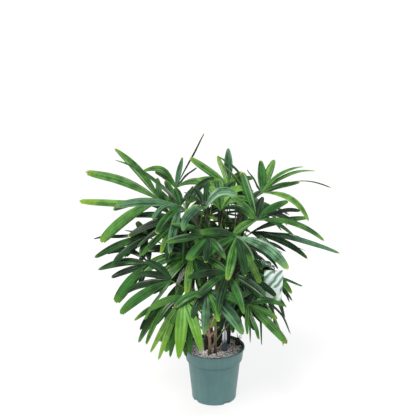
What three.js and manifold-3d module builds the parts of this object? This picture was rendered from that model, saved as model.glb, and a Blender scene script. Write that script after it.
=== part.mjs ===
// Lady palm in a plastic nursery pot: a clump of thin canes that carry fan-shaped fronds on long stalks.
// Millimetres, +Z up. The origin is the centre of the pot's flat underside, and the plant's front faces -Y.

import * as THREE from "three";
import { mergeVertices } from "three/addons/utils/BufferGeometryUtils.js";
import Module from "manifold-3d";

const wasm = await Module();
wasm.setup();

// ---- Driving dimensions ----

const SEAT_GAP = 0.3;

// Pot: a tapered body under a wider collar with a turned-out lip.
const POT_HEIGHT = 190;
const POT_WALL = 2.2;
const POT_FLOOR = 2.5;
const POT_BASE_RADIUS = 76;
const POT_BODY_TOP_RADIUS = 90.5;
const COLLAR_HEIGHT = 45;
const COLLAR_FOOT_RADIUS = 97;
const COLLAR_TOP_RADIUS = 102;
const LIP_RADIUS = 105;
const LIP_HEIGHT = 6;
const POT_CHAMFER = 2;
const POT_SEGMENTS = 24;
const DRAIN_SLOTS = 4;
const DRAIN_SLOT = { first: -56, width: 24, height: 6, depth: 12 };

// Potting mix with gravel on top.
const MIX_TOP = 179;
const MIX_CLEARANCE = 0.4;

// Canes: where each stands, how high it grows and how far its top leans out.
const CANE_FOOT_RADIUS = 7;
const CANE_TOP_RADIUS = 5;
const CANE_SIDES = 6;
const CANE_RINGS = 4;
const CANE_BEND = 0.18;
const CANES = [
  { foot: [-13, -51], top: [-34, -72], height: 235 },
  { foot: [3, -39], top: [14, -58], height: 430 },
  { foot: [-28, -7], top: [-62, -28], height: 520 },
  { foot: [-53, 26], top: [-124, 22], height: 455 },
  { foot: [-10, 14], top: [-26, 4], height: 560 },
  { foot: [14, 10], top: [20, 20], height: 570 },
  { foot: [38, -2], top: [84, -16], height: 490 },
  { foot: [48, 34], top: [104, 62], height: 440 },
  { foot: [-22, 56], top: [-58, 118], height: 470 },
  { foot: [18, 52], top: [34, 116], height: 500 },
];
const STUB = { at: [81, 26], radius: 6.5, flare: 1.1, height: 26 };

// Label on a flat stick, pushed into the mix.
const LABEL = { at: [35, -27], width: 17, thickness: 1.2, height: 82, turn: 12 };

// Printed tag, hung by its own strap from a cane.
const TAG = { centre: [196, -34, 421], width: 66, height: 112, thickness: 1, turn: 8, lean: 3 };
const TAG_STRAP = { cane: 7, hold: 0.7, width: 6, thickness: 1, lap: 1, rise: 10, steps: 5 };

// Fronds
const STALK_BASE_RADIUS = 3.4;
const STALK_TIP_RADIUS = 2.2;
const STALK_SIDES = 4;
const STALK_RINGS = 3;
const STALK_REACH = [0.75, 1.0, 1.3, 0.55, 1.6, 0.4, 2.0, 2.5];
const STALK_ARCH = 0.12;
const STALK_RUN = 40;
const STALK_START = { lowest: 0.08, highest: 0.97 };
const CANE_HEAD_ROOM = 18;
const STALK_PAST_HUB = 5;
const HUB_RADIUS = 13;
const HUB_THICKNESS = 8;
const HUB_SHOULDER = 16;
const HUB_KEEL = 1.5;
const HUB_ROOM = 19;
const LEAFLET_WIDTH = 24;
const LEAFLET_ARCH = 0.09;
const LEAFLET_RIDGE = 0.13;
const LEAFLET_CUP = 1.5;
const LEAFLET_TWIST = 14;
const LEAFLET_FOOT = { at: 0.06, width: 0.55 };
const LEAFLET_STATIONS = [
  { at: 0.25, width: 0.72 },
  { at: 0.76, width: 1 },
];
const LEAFLET_SHARE = 0.84;

// A frond in the list below has its hub, where the leaflets meet, and its face: the heading and rise, in
// degrees, of the way the upper side looks. A leaflet is its angle in the plane of the fan, counted
// anticlockwise from the right as one looks at that side, its length, its width and how high it arches.
const FRONT_FRONDS = [
  { hub: [-110, -70, 710], face: [-95, 38], leaflets: [
    [63, 80, 12], [101, 62, 24], [145, 284, 17, 0.085], [181, 217, 31, 0.065], [211, 99, 12, 0.2],
    [234, 120, 24], [261, 167, 30, 0.08],
  ] },
  { hub: [-180, 30, 700], face: [-105, 36], leaflets: [
    [108, 85, 23], [138, 267, 27, 0.06], [163, 301, 32, 0.06], [184, 290, 27, -0.03], [196, 166, 15, 0.04],
    [222, 242, 39, 0.085],
  ] },
  { hub: [-130, 60, 735], face: [-90, 45], leaflets: [
    [-5, 136, 26, 0.24], [50, 109, 12, 0.04], [66, 240, 7, 0.01], [80, 126, 27, 0.02], [118, 83, 28],
    [136, 98, 25], [154, 135, 24, 0.3],
  ] },
  { hub: [47, 50, 749], face: [-85, 45], leaflets: [
    [15, 90, 24], [40, 71, 28, 0.15], [86, 148, 28, 0.02], [104, 119, 15, 0.02], [138, 166, 26, 0.01],
    [168, 110, 24],
  ] },
  { hub: [20, -50, 690], face: [-90, 55], leaflets: [
    [-22, 115, 26, 0.24], [10, 120, 27, 0.28], [40, 130, 28, 0.28], [68, 130, 28, 0.24],
    [96, 128, 28, 0.24], [128, 128, 28, 0.28], [165, 115, 25, 0.28],
  ] },
  { hub: [-30, -158, 727], face: [-100, 50], leaflets: [
    [33, 116, 34, 0.25], [64, 80, 24], [92, 107, 15], [120, 99, 14], [144, 98, 14], [196, 64, 29, 0.16],
    [236, 106, 30, 0.26],
  ] },
  { hub: [155, 0, 735], face: [-75, 42], leaflets: [
    [-40, 181, 20, 0.2], [0, 246, 10, 0.12], [11, 145, 19, 0.04], [19, 219, 18, 0.12], [27, 189, 18, 0.15],
    [60, 140, 28, 0.02], [80, 125, 34, 0.02], [108, 98, 12, 0.02],
  ] },
  { hub: [135, -80, 665], face: [-80, 38], leaflets: [
    [-21, 231, 21, 0.13], [10, 153, 9, 0.08], [28, 130, 32, 0.06], [68, 87, 30, 0.05], [99, 176, 30, 0.04],
    [132, 122, 27], [208, 90, 26],
  ] },
  { hub: [120, -20, 605], face: [-75, 42], leaflets: [
    [-62, 130, 26, 0.17], [-32, 208, 17, 0.09], [-26, 195, 9, 0.06], [-19, 312, 22, 0.05],
    [-11, 185, 13, 0.05], [10, 215, 21, 0.06], [150, 120, 26],
  ] },
  { hub: [68, -158, 634], face: [-90, 45], leaflets: [
    [182, 120, 26], [216, 130, 27], [259, 154, 32, 0.06], [281, 138, 28], [301, 98, 20],
    [325, 196, 35, 0.16],
  ] },
  { hub: [-20, -168, 639], face: [-95, 50], leaflets: [
    [160, 130, 27], [190, 135, 28], [235, 107, 40, 0.07], [268, 95, 24], [306, 98, 25, 0.05],
    [368, 125, 26],
  ] },
  { hub: [-215, -30, 500], face: [-110, 40], leaflets: [
    [120, 105, 25], [174, 168, 20, 0.16], [194, 185, 28, 0.09], [208, 140, 18, 0.03], [241, 172, 40, 0.05],
    [264, 89, 15],
  ] },
  { hub: [-220, 0, 585], face: [-110, 42], leaflets: [
    [139, 76, 22, -0.02], [172, 91, 15, 0.05], [189, 198, 18, 0.05], [210, 197, 26, 0.06],
    [231, 157, 24, 0.09], [265, 74, 26],
  ] },
  { hub: [-138, -129, 477], face: [-105, 42], leaflets: [
    [150, 120, 25], [178, 135, 27], [200, 165, 30], [221, 199, 37, 0.07], [245, 157, 18, 0.05],
  ] },
  { hub: [-98, -236, 464], face: [-95, 35], leaflets: [
    [205, 120, 24], [243, 203, 20, 0.05], [252, 213, 28, 0.05], [269, 197, 41, 0.05], [291, 182, 31, 0.06],
    [325, 70, 26],
  ] },
  { hub: [-155, -60, 375], face: [-110, 40], leaflets: [
    [218, 130, 24, 0.08], [236, 131, 16, 0.08], [246, 166, 21, 0.05], [256, 160, 13, 0.05],
    [282, 173, 25, 0.05], [302, 206, 25, 0.04],
  ] },
  { hub: [-25, -236, 483], face: [-85, 35], leaflets: [
    [205, 115, 26], [240, 100, 24], [264, 141, 27, 0.05], [288, 104, 20, 0.05], [307, 177, 44, 0.06],
    [338, 122, 27],
  ] },
  { hub: [107, -138, 399], face: [-75, 40], leaflets: [
    [226, 85, 23], [257, 104, 18], [279, 123, 18, 0.06], [306, 180, 29, 0.05], [327, 109, 25, 0.06],
    [352, 122, 15, 0.08],
  ] },
  { hub: [90, -50, 470], face: [-70, 42], leaflets: [
    [270, 120, 25], [290, 128, 23], [316, 138, 23, 0.06], [345, 230, 16, 0.06], [372, 118, 25],
    [410, 108, 24],
  ] },
  { hub: [43, -197, 527], face: [-90, 48], leaflets: [
    [150, 118, 26], [188, 132, 28], [222, 138, 28], [256, 140, 28], [288, 150, 28], [324, 140, 27],
  ] },
  { hub: [-118, 0, 640], face: [-105, 48], leaflets: [
    [118, 145, 28], [148, 165, 30], [178, 170, 30], [206, 178, 30], [236, 175, 30], [268, 160, 28],
  ] },
  { hub: [-75, -45, 535], face: [-95, 48], leaflets: [
    [142, 145, 28], [175, 160, 30], [205, 175, 30], [235, 172, 30], [268, 155, 28], [310, 140, 27],
  ] },
  { hub: [-66, -30, 462], face: [-95, 45], leaflets: [
    [158, 150, 28], [184, 160, 28], [210, 155, 28], [244, 140, 27], [290, 130, 27],
  ] },
  { hub: [70, 10, 560], face: [-80, 48], leaflets: [
    [60, 135, 28], [100, 140, 28], [178, 130, 27], [212, 145, 28], [250, 165, 30], [290, 170, 30],
    [330, 150, 30],
  ] },
  { hub: [150, 0, 470], face: [-70, 45], leaflets: [
    [190, 125, 26], [226, 142, 27], [258, 150, 28], [286, 150, 28], [314, 140, 27],
  ] },
  { hub: [-65, -60, 330], face: [-95, 40], leaflets: [
    [136, 105, 25], [160, 120, 26], [190, 145, 27], [220, 150, 28], [250, 138, 27],
  ] },
  { hub: [55, -65, 395], face: [-85, 45], leaflets: [
    [30, 118, 26], [200, 120, 26], [235, 132, 28], [268, 135, 27], [300, 140, 28], [335, 140, 28],
  ] },
];

// The rest of the crown: fronds at the sides, at the back and in the middle, dealt out by rule.
const FROND_COUNT = 45;
const FILL_HEADING = { from: -20, to: 200 };
const FILL_HEIGHT = { from: 410, to: 705 };
const FILL_OUT = { low: 215, high: 170, sideways: 0.62, vary: 0.15, behind: 15 };
const FILL_RISE = { from: 35, to: 50 };
const FILL_TURN = { most: 115, from: 0.1, to: 0.9, wander: 20 };
const FILL_LEAFLETS = { count: 6, spread: 175, length: 225, width: 30, arch: 0.12 };
const FILL_VARY = { shorten: 0.9, size: 0.12, arch: 0.3 };
const HANGING = 270;
const GOLDEN_TURN = 137.508;
const GOLDEN_STEP = 0.618034;
const FILL_SEED = 71;

// Small moves that a leaflet may make to keep clear of its neighbours: out of the fan's plane, round in
// it, and at last shorter.
const LEANS = [0, 6, -6, 12, -12, 18, -18, 25, -25];
const SWINGS = [0, 3, -3, 6, -6, 10, -10, 15, -15];
const SHORTER = [1, 0.86, 0.72];

// ---- Helpers ----

const { clamp, degToRad: rad, lerp, smoothstep } = THREE.MathUtils;
const UP = new THREE.Vector3(0, 0, 1);
const EAST = new THREE.Vector3(1, 0, 0);
const NORTH = new THREE.Vector3(0, 1, 0);
const MERGE = 1e-4;

function vector([x, y, z]) {
  return new THREE.Vector3(x, y, z);
}

// A pair of heading and rise angles as a direction.
function direction(heading, rise) {
  const level = Math.cos(rad(rise));
  const high = Math.sin(rad(rise));
  return new THREE.Vector3(level * Math.cos(rad(heading)), level * Math.sin(rad(heading)), high);
}

// The part of a vector that is square to a unit direction, at unit length.
function squareTo(v, along) {
  return v.clone().addScaledVector(along, -v.dot(along)).normalize();
}

// Repeatable random numbers from 0 to 1.
function seededRandom(seed) {
  let state = seed;
  return () => {
    state = (state * 1664525 + 1013904223) % 4294967296;
    return state / 4294967296;
  };
}

function skin(points, faces) {
  const geometry = new THREE.BufferGeometry().setFromPoints(points);
  geometry.setIndex(faces);
  return geometry;
}

// The faces between two rings of point numbers. Each is split along its outer diagonal, so that a twisted
// blade keeps its thickness.
function sideFaces(points, inner, outer) {
  const middle = new THREE.Vector3();
  for (const index of [...inner, ...outer]) {
    middle.addScaledVector(points[index], 1 / (2 * inner.length));
  }
  const bulge = (a, b) => points[a].clone().lerp(points[b], 0.5).distanceTo(middle);
  return inner.flatMap((a, i) => {
    const next = (i + 1) % inner.length;
    const [b, c, d] = [inner[next], outer[next], outer[i]];
    return bulge(a, c) > bulge(b, d) ? [a, b, c, a, c, d] : [a, b, d, b, c, d];
  });
}

// A closed skin over rings of equal point counts, listed anticlockwise as seen from the far end. It ends
// in a flat cap, or in a point where a tip is given.
function loft(rings, tip) {
  const sides = rings[0].length;
  const points = rings.flat();
  const numbers = rings.map((ringPoints, i) => ringPoints.map((_, k) => i * sides + k));
  const faces = numbers.slice(1).flatMap((outer, i) => sideFaces(points, numbers[i], outer));
  const last = (rings.length - 1) * sides;
  for (let i = 1; i + 1 < sides; i += 1) {
    faces.push(0, i + 1, i);
    if (!tip) {
      faces.push(last, last + i, last + i + 1);
    }
  }
  if (tip) {
    points.push(tip);
    for (let i = 0; i < sides; i += 1) {
      faces.push(last + i, last + ((i + 1) % sides), rings.length * sides);
    }
  }
  return skin(points, faces);
}

// A ring of points round a centre, in the plane of two unit directions.
function ring(centre, radius, sides, across, over) {
  return Array.from({ length: sides }, (_, i) => {
    const turn = (2 * Math.PI * i) / sides;
    return centre
      .clone()
      .addScaledVector(across, radius * Math.cos(turn))
      .addScaledVector(over, radius * Math.sin(turn));
  });
}

// Geometry to solid and back.
function toSolid(geometry) {
  const bare = geometry.clone();
  bare.deleteAttribute("normal");
  bare.deleteAttribute("uv");
  const merged = mergeVertices(bare, MERGE);
  const vertProperties = new Float32Array(merged.attributes.position.array);
  const triVerts = new Uint32Array(merged.index.array);
  return new wasm.Manifold(new wasm.Mesh({ numProp: 3, vertProperties, triVerts }));
}

function toGeometry(solid) {
  const mesh = solid.getMesh();
  const geometry = new THREE.BufferGeometry();
  geometry.setAttribute("position", new THREE.Float32BufferAttribute(mesh.vertProperties, 3));
  geometry.setIndex(Array.from(mesh.triVerts));
  return geometry;
}

function overlaps(a, b) {
  for (const axis of [0, 1, 2]) {
    if (a.box.min[axis] > b.box.max[axis] || b.box.min[axis] > a.box.max[axis]) {
      return false;
    }
  }
  const common = a.solid.intersect(b.solid);
  const touching = !common.isEmpty();
  common.delete();
  return touching;
}

function boxed(solid, owner) {
  return { solid, owner, box: solid.boundingBox() };
}

// ---- Materials ----

function finish(color, roughness) {
  return new THREE.MeshStandardMaterial({ color, roughness, metalness: 0 });
}

const FINISHES = {
  pot: finish("#64868a", 0.45),
  mix: finish("#8f8682", 0.95),
  cane: finish("#54442f", 0.9),
  frond: finish("#2f6b22", 0.5),
  tag: finish("#cfe3dc", 0.5),
  label: finish("#5b7189", 0.5),
};

const plant = new THREE.Group();

function numbered(kind, index) {
  return `${kind}_${String(index + 1).padStart(2, "0")}`;
}

function addPiece(name, geometry, material) {
  const mesh = new THREE.Mesh(geometry, material);
  mesh.name = name;
  plant.add(mesh);
}

// ---- Pot ----

// The wall's outline from the middle of the underside, up the outside, over the lip and down the inside.
function potProfile() {
  const shoulder = POT_HEIGHT - COLLAR_HEIGHT;
  const lipFoot = POT_HEIGHT - LIP_HEIGHT;
  const floorRadius = POT_BASE_RADIUS - POT_WALL;
  const outline = [
    [0, 0],
    [POT_BASE_RADIUS - POT_CHAMFER, 0],
    [POT_BASE_RADIUS, POT_CHAMFER],
    [POT_BODY_TOP_RADIUS, shoulder],
    [COLLAR_FOOT_RADIUS, shoulder],
    [COLLAR_TOP_RADIUS, lipFoot],
    [LIP_RADIUS, lipFoot],
    [LIP_RADIUS, POT_HEIGHT - POT_CHAMFER],
    [LIP_RADIUS - POT_CHAMFER, POT_HEIGHT],
    [COLLAR_TOP_RADIUS - POT_WALL, POT_HEIGHT],
    [COLLAR_FOOT_RADIUS - POT_WALL, shoulder + POT_WALL],
    [POT_BODY_TOP_RADIUS - POT_WALL, shoulder + POT_WALL],
    [floorRadius, POT_FLOOR],
    [0, POT_FLOOR],
  ];
  return outline.map(([x, y]) => new THREE.Vector2(x, y));
}

function makePot() {
  const body = new THREE.LatheGeometry(potProfile(), POT_SEGMENTS);
  body.rotateX(Math.PI / 2);
  let pot = toSolid(body);
  for (let i = 0; i < DRAIN_SLOTS; i += 1) {
    const slot = new THREE.BoxGeometry(DRAIN_SLOT.depth, DRAIN_SLOT.width, 2 * DRAIN_SLOT.height);
    slot.translate(POT_BASE_RADIUS, 0, 0);
    slot.rotateZ(rad(DRAIN_SLOT.first + (360 * i) / DRAIN_SLOTS));
    pot = pot.subtract(toSolid(slot));
  }
  return pot;
}

// The mix fills the pot to just under the lip, a little inside the wall.
function makeMix() {
  const shoulder = POT_HEIGHT - COLLAR_HEIGHT + POT_WALL + MIX_CLEARANCE;
  const inset = POT_WALL + 2 * MIX_CLEARANCE;
  const collarSlope = (COLLAR_TOP_RADIUS - COLLAR_FOOT_RADIUS) / (COLLAR_HEIGHT - LIP_HEIGHT);
  const outline = [
    [0, POT_FLOOR + MIX_CLEARANCE],
    [POT_BASE_RADIUS - inset, POT_FLOOR + MIX_CLEARANCE],
    [POT_BODY_TOP_RADIUS - inset, shoulder],
    [COLLAR_FOOT_RADIUS - inset, shoulder],
    [COLLAR_FOOT_RADIUS - inset + collarSlope * (MIX_TOP - shoulder), MIX_TOP],
    [0, MIX_TOP],
  ];
  const body = new THREE.LatheGeometry(outline.map(([x, y]) => new THREE.Vector2(x, y)), POT_SEGMENTS);
  body.rotateX(Math.PI / 2);
  return toSolid(body);
}

// ---- Canes ----

const GROUND = MIX_TOP + SEAT_GAP;

// The middle line of a cane, upright at the foot and leaning out as it rises.
function canePath({ foot, top, height }) {
  const start = vector([...foot, GROUND]);
  const end = vector([...top, GROUND + height]);
  const knee = start.clone().lerp(end, CANE_BEND).setZ((start.z + end.z) / 2);
  return new THREE.QuadraticBezierCurve3(start, knee, end);
}

function makeCane(path, extra = 0) {
  const rings = [];
  for (let i = 0; i <= CANE_RINGS; i += 1) {
    const t = i / CANE_RINGS;
    const radius = lerp(CANE_FOOT_RADIUS, CANE_TOP_RADIUS, t) + extra;
    rings.push(ring(path.getPoint(t), radius, CANE_SIDES, EAST, NORTH));
  }
  return toSolid(loft(rings));
}

function makeStub() {
  const stub = new THREE.CylinderGeometry(STUB.radius, STUB.radius * STUB.flare, STUB.height, CANE_SIDES);
  stub.rotateX(Math.PI / 2);
  stub.translate(STUB.at[0], STUB.at[1], GROUND + STUB.height / 2);
  return toSolid(stub);
}

// ---- Label and tag ----

function makeLabel() {
  const half = LABEL.width / 2;
  const outline = new THREE.Shape();
  outline.moveTo(-half, 0);
  outline.lineTo(half, 0);
  outline.lineTo(half, LABEL.height - half / 2);
  outline.lineTo(half / 2, LABEL.height);
  outline.lineTo(-half / 2, LABEL.height);
  outline.lineTo(-half, LABEL.height - half / 2);
  const plate = new THREE.ExtrudeGeometry(outline, { depth: LABEL.thickness, bevelEnabled: false });
  plate.rotateX(Math.PI / 2);
  plate.rotateZ(rad(LABEL.turn));
  plate.translate(LABEL.at[0], LABEL.at[1], GROUND);
  return toSolid(plate);
}

function tagFrame() {
  return new THREE.Matrix4()
    .makeTranslation(vector(TAG.centre))
    .multiply(new THREE.Matrix4().makeRotationZ(rad(TAG.turn)))
    .multiply(new THREE.Matrix4().makeRotationY(rad(TAG.lean)));
}

// The tag's plate and the strap that runs from its top edge to the cane it hangs from.
function makeTag(cane) {
  const frame = tagFrame();
  const plate = new THREE.BoxGeometry(TAG.width, TAG.thickness, TAG.height);
  plate.applyMatrix4(frame);
  const start = new THREE.Vector3(0, 0, TAG.height / 2 - TAG_STRAP.lap).applyMatrix4(frame);
  const end = cane.path.getPoint(TAG_STRAP.hold);
  const knee = start.clone().lerp(end, 0.5).addScaledVector(UP, TAG_STRAP.rise);
  const path = new THREE.QuadraticBezierCurve3(start, knee, end);
  const rings = [];
  for (let i = 0; i <= TAG_STRAP.steps; i += 1) {
    const centre = path.getPoint(i / TAG_STRAP.steps);
    const along = path.getTangent(i / TAG_STRAP.steps);
    const high = squareTo(UP, along).multiplyScalar(TAG_STRAP.width / 2);
    const thick = high.clone().cross(along).normalize().multiplyScalar(TAG_STRAP.thickness / 2);
    const corner = (a, b) => centre.clone().addScaledVector(high, a).addScaledVector(thick, b);
    rings.push([corner(1, 1), corner(1, -1), corner(-1, -1), corner(-1, 1)]);
  }
  return toSolid(plate).add(toSolid(loft(rings))).subtract(cane.sleeve);
}

// ---- Fronds ----

// The fan's own directions: its upper side, its right hand and its upper edge.
function fanAxes([heading, rise]) {
  const normal = direction(heading, rise);
  const right = UP.clone().cross(normal).normalize();
  return { normal, right, upper: normal.clone().cross(right) };
}

// A leaflet is a keeled blade that rises from the hub and droops to its tip. Each of its rings is a flat
// triangle: the left edge, the keel and the right edge. Near the hub it is as narrow as its neighbours
// make it.
function leafletShape(frond, leaflet) {
  const { angle, length, width, arch, lean, twist, gap } = leaflet;
  const room = LEAFLET_SHARE * 2 * length * Math.sin(rad(gap / 2));
  const { normal, right, upper } = frond.axes;
  const chord = new THREE.Vector3()
    .addScaledVector(right, Math.cos(rad(angle)) * Math.cos(rad(lean)))
    .addScaledVector(upper, Math.sin(rad(angle)) * Math.cos(rad(lean)))
    .addScaledVector(normal, Math.sin(rad(lean)));
  const lift = squareTo(UP, chord);
  const tip = frond.hub.clone().addScaledVector(chord, length);
  const knee = frond.hub.clone().lerp(tip, 0.5).addScaledVector(lift, 2 * arch * length);
  const path = new THREE.QuadraticBezierCurve3(frond.hub, knee, tip);
  const ringAt = (at, breadth) => {
    const along = path.getTangent(at);
    const face = squareTo(normal, along).applyAxisAngle(along, rad(twist * at));
    const across = along.clone().cross(face).multiplyScalar(breadth / 2);
    const centre = path.getPoint(at);
    const keel = centre.clone().addScaledVector(face, breadth * LEAFLET_RIDGE);
    return [centre.clone().sub(across), keel, centre.clone().add(across)];
  };
  const foot = ringAt(LEAFLET_FOOT.at, width * LEAFLET_FOOT.width);
  const rings = LEAFLET_STATIONS.map((s) => ringAt(s.at, Math.min(width * s.width, room * s.at)));
  return { angle, start: path.getTangent(0), foot, rings, tip };
}

// The fan as one closed skin. Neighbouring leaflets share a corner where they part at the hub, and the
// hub is a thick wedge between its top and bottom points.
function makeFan({ hub, axes }, shapes) {
  const outward = (way) => hub.clone().addScaledVector(way, HUB_RADIUS);
  const first = shapes[0].start.clone().applyAxisAngle(axes.normal, -rad(HUB_SHOULDER));
  const last = shapes[shapes.length - 1].start.clone().applyAxisAngle(axes.normal, rad(HUB_SHOULDER));
  const between = shapes.slice(1).map(({ start }, i) => start.clone().add(shapes[i].start).normalize());
  const corners = [first, ...between, last].map(outward);
  const points = [
    hub.clone().addScaledVector(axes.normal, HUB_THICKNESS / 2),
    hub.clone().addScaledVector(axes.normal, -HUB_THICKNESS / 2),
    ...corners,
  ];
  const [top, bottom, firstCorner] = [0, 1, 2];
  const faces = [top, bottom, firstCorner, bottom, top, firstCorner + shapes.length];
  shapes.forEach(({ rings, tip }, i) => {
    const rightCorner = firstCorner + i;
    const leftCorner = rightCorner + 1;
    const middle = corners[i].clone().add(corners[i + 1]).divideScalar(2).sub(hub).normalize();
    const keelFoot = points.push(outward(middle).addScaledVector(axes.normal, HUB_KEEL)) - 1;
    faces.push(top, rightCorner, keelFoot, top, keelFoot, leftCorner, bottom, leftCorner, rightCorner);
    let inner = [leftCorner, keelFoot, rightCorner];
    for (const ringPoints of rings) {
      const outer = ringPoints.map((point) => points.push(point) - 1);
      faces.push(...sideFaces(points, inner, outer));
      inner = outer;
    }
    const end = points.push(tip) - 1;
    faces.push(inner[0], inner[1], end, inner[1], inner[2], end, inner[2], inner[0], end);
  });
  return toSolid(skin(points, faces));
}

// A stalk leaves its cane at a slant and curves up and out to the hub, all in one upright plane.
function stalkPath(cane, end, reach) {
  const top = cane.path.getPoint(1);
  const away = Math.hypot(end.x - top.x, end.y - top.y);
  const startHeight = Math.min(end.z - reach * (away + STALK_RUN), top.z - CANE_HEAD_ROOM);
  const low = cane.path.getPoint(0).z;
  const t = clamp((startHeight - low) / (top.z - low), STALK_START.lowest, STALK_START.highest);
  const start = cane.path.getPoint(t);
  const knee = start.clone().lerp(end, 0.5).addScaledVector(UP, STALK_ARCH * start.distanceTo(end));
  return new THREE.QuadraticBezierCurve3(start, knee, end);
}

function stalkRings(path) {
  const start = path.getPoint(0);
  const end = path.getPoint(1);
  const side = squareTo(end.clone().sub(start).cross(UP), UP);
  const rings = [];
  for (let i = 0; i <= STALK_RINGS; i += 1) {
    const t = i / STALK_RINGS;
    const over = squareTo(side.clone().cross(path.getTangent(t)), side);
    const radius = lerp(STALK_BASE_RADIUS, STALK_TIP_RADIUS, t);
    rings.push(ring(path.getPoint(t), radius, STALK_SIDES, over, side));
  }
  return rings;
}

// The stalk ends a little inside the fan, on the side its leaflets grow to.
function stalkEnd(frond) {
  const middle = new THREE.Vector3();
  for (const leaflet of frond.leaflets) {
    middle.add(leafletShape(frond, { ...leaflet, lean: leaflet.cup }).start);
  }
  return frond.hub.clone().addScaledVector(middle.normalize(), STALK_PAST_HUB);
}

function leafletSpec([angle, length, width = LEAFLET_WIDTH, arch = LEAFLET_ARCH], angles, random) {
  const twist = LEAFLET_TWIST * (2 * random() - 1);
  const cup = -LEAFLET_CUP * random();
  const gap = Math.min(...angles.filter((other) => other !== angle).map((other) => Math.abs(other - angle)));
  return { angle, length, width, arch, twist, cup, gap };
}

// One frond of the rest of the crown. Low fans hang, and the higher ones turn more and more to one side.
function fillFrond(index, random) {
  const part = (index * GOLDEN_TURN) / (FILL_HEADING.to - FILL_HEADING.from);
  const heading = lerp(FILL_HEADING.from, FILL_HEADING.to, part % 1);
  const height = (index * GOLDEN_STEP) % 1;
  const vary = (amount) => 1 + amount * (2 * random() - 1);
  const out = lerp(FILL_OUT.low, FILL_OUT.high, height) * vary(FILL_OUT.vary);
  const hub = [
    FILL_OUT.sideways * out * Math.cos(rad(heading)),
    out * Math.sin(rad(heading)) + FILL_OUT.behind,
    lerp(FILL_HEIGHT.from, FILL_HEIGHT.to, height),
  ];
  const side = index % 2 === 0 ? 1 : -1;
  const turn = side * FILL_TURN.most * smoothstep(height, FILL_TURN.from, FILL_TURN.to);
  const { count, spread, length, width, arch } = FILL_LEAFLETS;
  const leaflets = [];
  for (let i = 0; i < count; i += 1) {
    const place = i / (count - 1) - 0.5;
    const size = (1 - FILL_VARY.shorten * place * place) * vary(FILL_VARY.size);
    const angle = HANGING + turn + spread * place;
    leaflets.push([angle, length * size, width * size, arch * vary(FILL_VARY.arch)]);
  }
  const faceHeading = heading + FILL_TURN.wander * (2 * random() - 1);
  return { hub, face: [faceHeading, lerp(FILL_RISE.from, FILL_RISE.to, height)], leaflets };
}

// ---- Assembly ----

const potSolid = makePot();
const labelSolid = makeLabel();
const stubSolid = makeStub();
const canes = CANES.map((size) => {
  const path = canePath(size);
  return { path, ...boxed(makeCane(path), "cane"), sleeve: makeCane(path, SEAT_GAP) };
});

addPiece("pot", toGeometry(potSolid), FINISHES.pot);
addPiece("potting_mix", toGeometry(makeMix()), FINISHES.mix);
addPiece("plant_label", toGeometry(labelSolid), FINISHES.label);
addPiece("cane_stub", toGeometry(stubSolid), FINISHES.cane);
canes.forEach((cane, i) => {
  addPiece(numbered("cane", i), toGeometry(cane.solid), FINISHES.cane);
});

const placed = [...canes, boxed(potSolid, "pot"), boxed(labelSolid, "label"), boxed(stubSolid, "stub")];
const fronds = [];

// The first of the stalks, from the nearest cane outwards, that reaches the hub and touches nothing.
function clearStalk(frond) {
  const away = (cane) => cane.path.getPoint(1).distanceTo(frond.hub);
  const end = stalkEnd(frond);
  for (const cane of [...canes].sort((a, b) => away(a) - away(b))) {
    for (const reach of STALK_REACH) {
      const path = stalkPath(cane, end, reach);
      const piece = boxed(toSolid(loft(stalkRings(path))).subtract(cane.sleeve), frond.name);
      if (piece.solid.decompose().length === 1 && placed.every((other) => !overlaps(piece, other))) {
        return { ...piece, path };
      }
    }
  }
  return null;
}

// A frond joins the plant if its hub and its stalk find room.
function addFrond({ hub, face, leaflets }, random) {
  const angles = leaflets.map(([angle]) => angle);
  const frond = {
    name: numbered("frond", fronds.length),
    hub: vector(hub),
    axes: fanAxes(face),
    leaflets: leaflets.map((leaflet) => leafletSpec(leaflet, angles, random)),
  };
  const room = new THREE.IcosahedronGeometry(HUB_ROOM);
  room.translate(...hub);
  const hubRoom = boxed(toSolid(room), frond.name);
  frond.stalk = clearStalk(frond);
  if (frond.stalk && placed.every((other) => !overlaps(hubRoom, other))) {
    placed.push(hubRoom, frond.stalk);
    fronds.push(frond);
  }
}

const random = seededRandom(FILL_SEED);
for (const frond of FRONT_FRONDS) {
  addFrond(frond, random);
}
for (let i = 0; fronds.length < FROND_COUNT; i += 1) {
  addFrond(fillFrond(i, random), random);
}

const tag = makeTag(canes[TAG_STRAP.cane - 1]);
addPiece("hang_tag", toGeometry(tag), FINISHES.tag);
placed.push(boxed(tag, "tag"));

function leafletIsClear(piece, owner) {
  return placed.every((other) => {
    if (other.owner !== owner) {
      return !overlaps(piece, other);
    }
    return !overlaps(piece.free, other.free ?? other);
  });
}

// A leaflet in the first of its positions that is clear of all that stands already.
function placeLeaflet(frond, leaflet) {
  for (const shorter of SHORTER) {
    for (const swing of SWINGS) {
      for (const lean of LEANS) {
        const shape = leafletShape(frond, {
          ...leaflet,
          angle: leaflet.angle + swing,
          length: leaflet.length * shorter,
          lean: leaflet.cup + lean,
        });
        const piece = boxed(toSolid(loft([shape.foot, ...shape.rings], shape.tip)), frond.name);
        piece.free = boxed(toSolid(loft(shape.rings, shape.tip)), frond.name);
        if (leafletIsClear(piece, frond.name)) {
          placed.push(piece);
          return shape;
        }
      }
    }
  }
  return null;
}

for (const frond of fronds) {
  const shapes = frond.leaflets.map((leaflet) => placeLeaflet(frond, leaflet)).filter((shape) => shape);
  const fan = makeFan(frond, shapes.sort((a, b) => a.angle - b.angle));
  addPiece(frond.name, toGeometry(fan.add(frond.stalk.solid)), FINISHES.frond);
}

export default plant;
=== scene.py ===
# Lady palm in a plastic nursery pot, dressed round its fixed frame. Metres, +Z up, the front faces -Y.

import math
import random

import bmesh
import bpy
import numpy as np
from mathutils import Matrix, Vector


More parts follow.
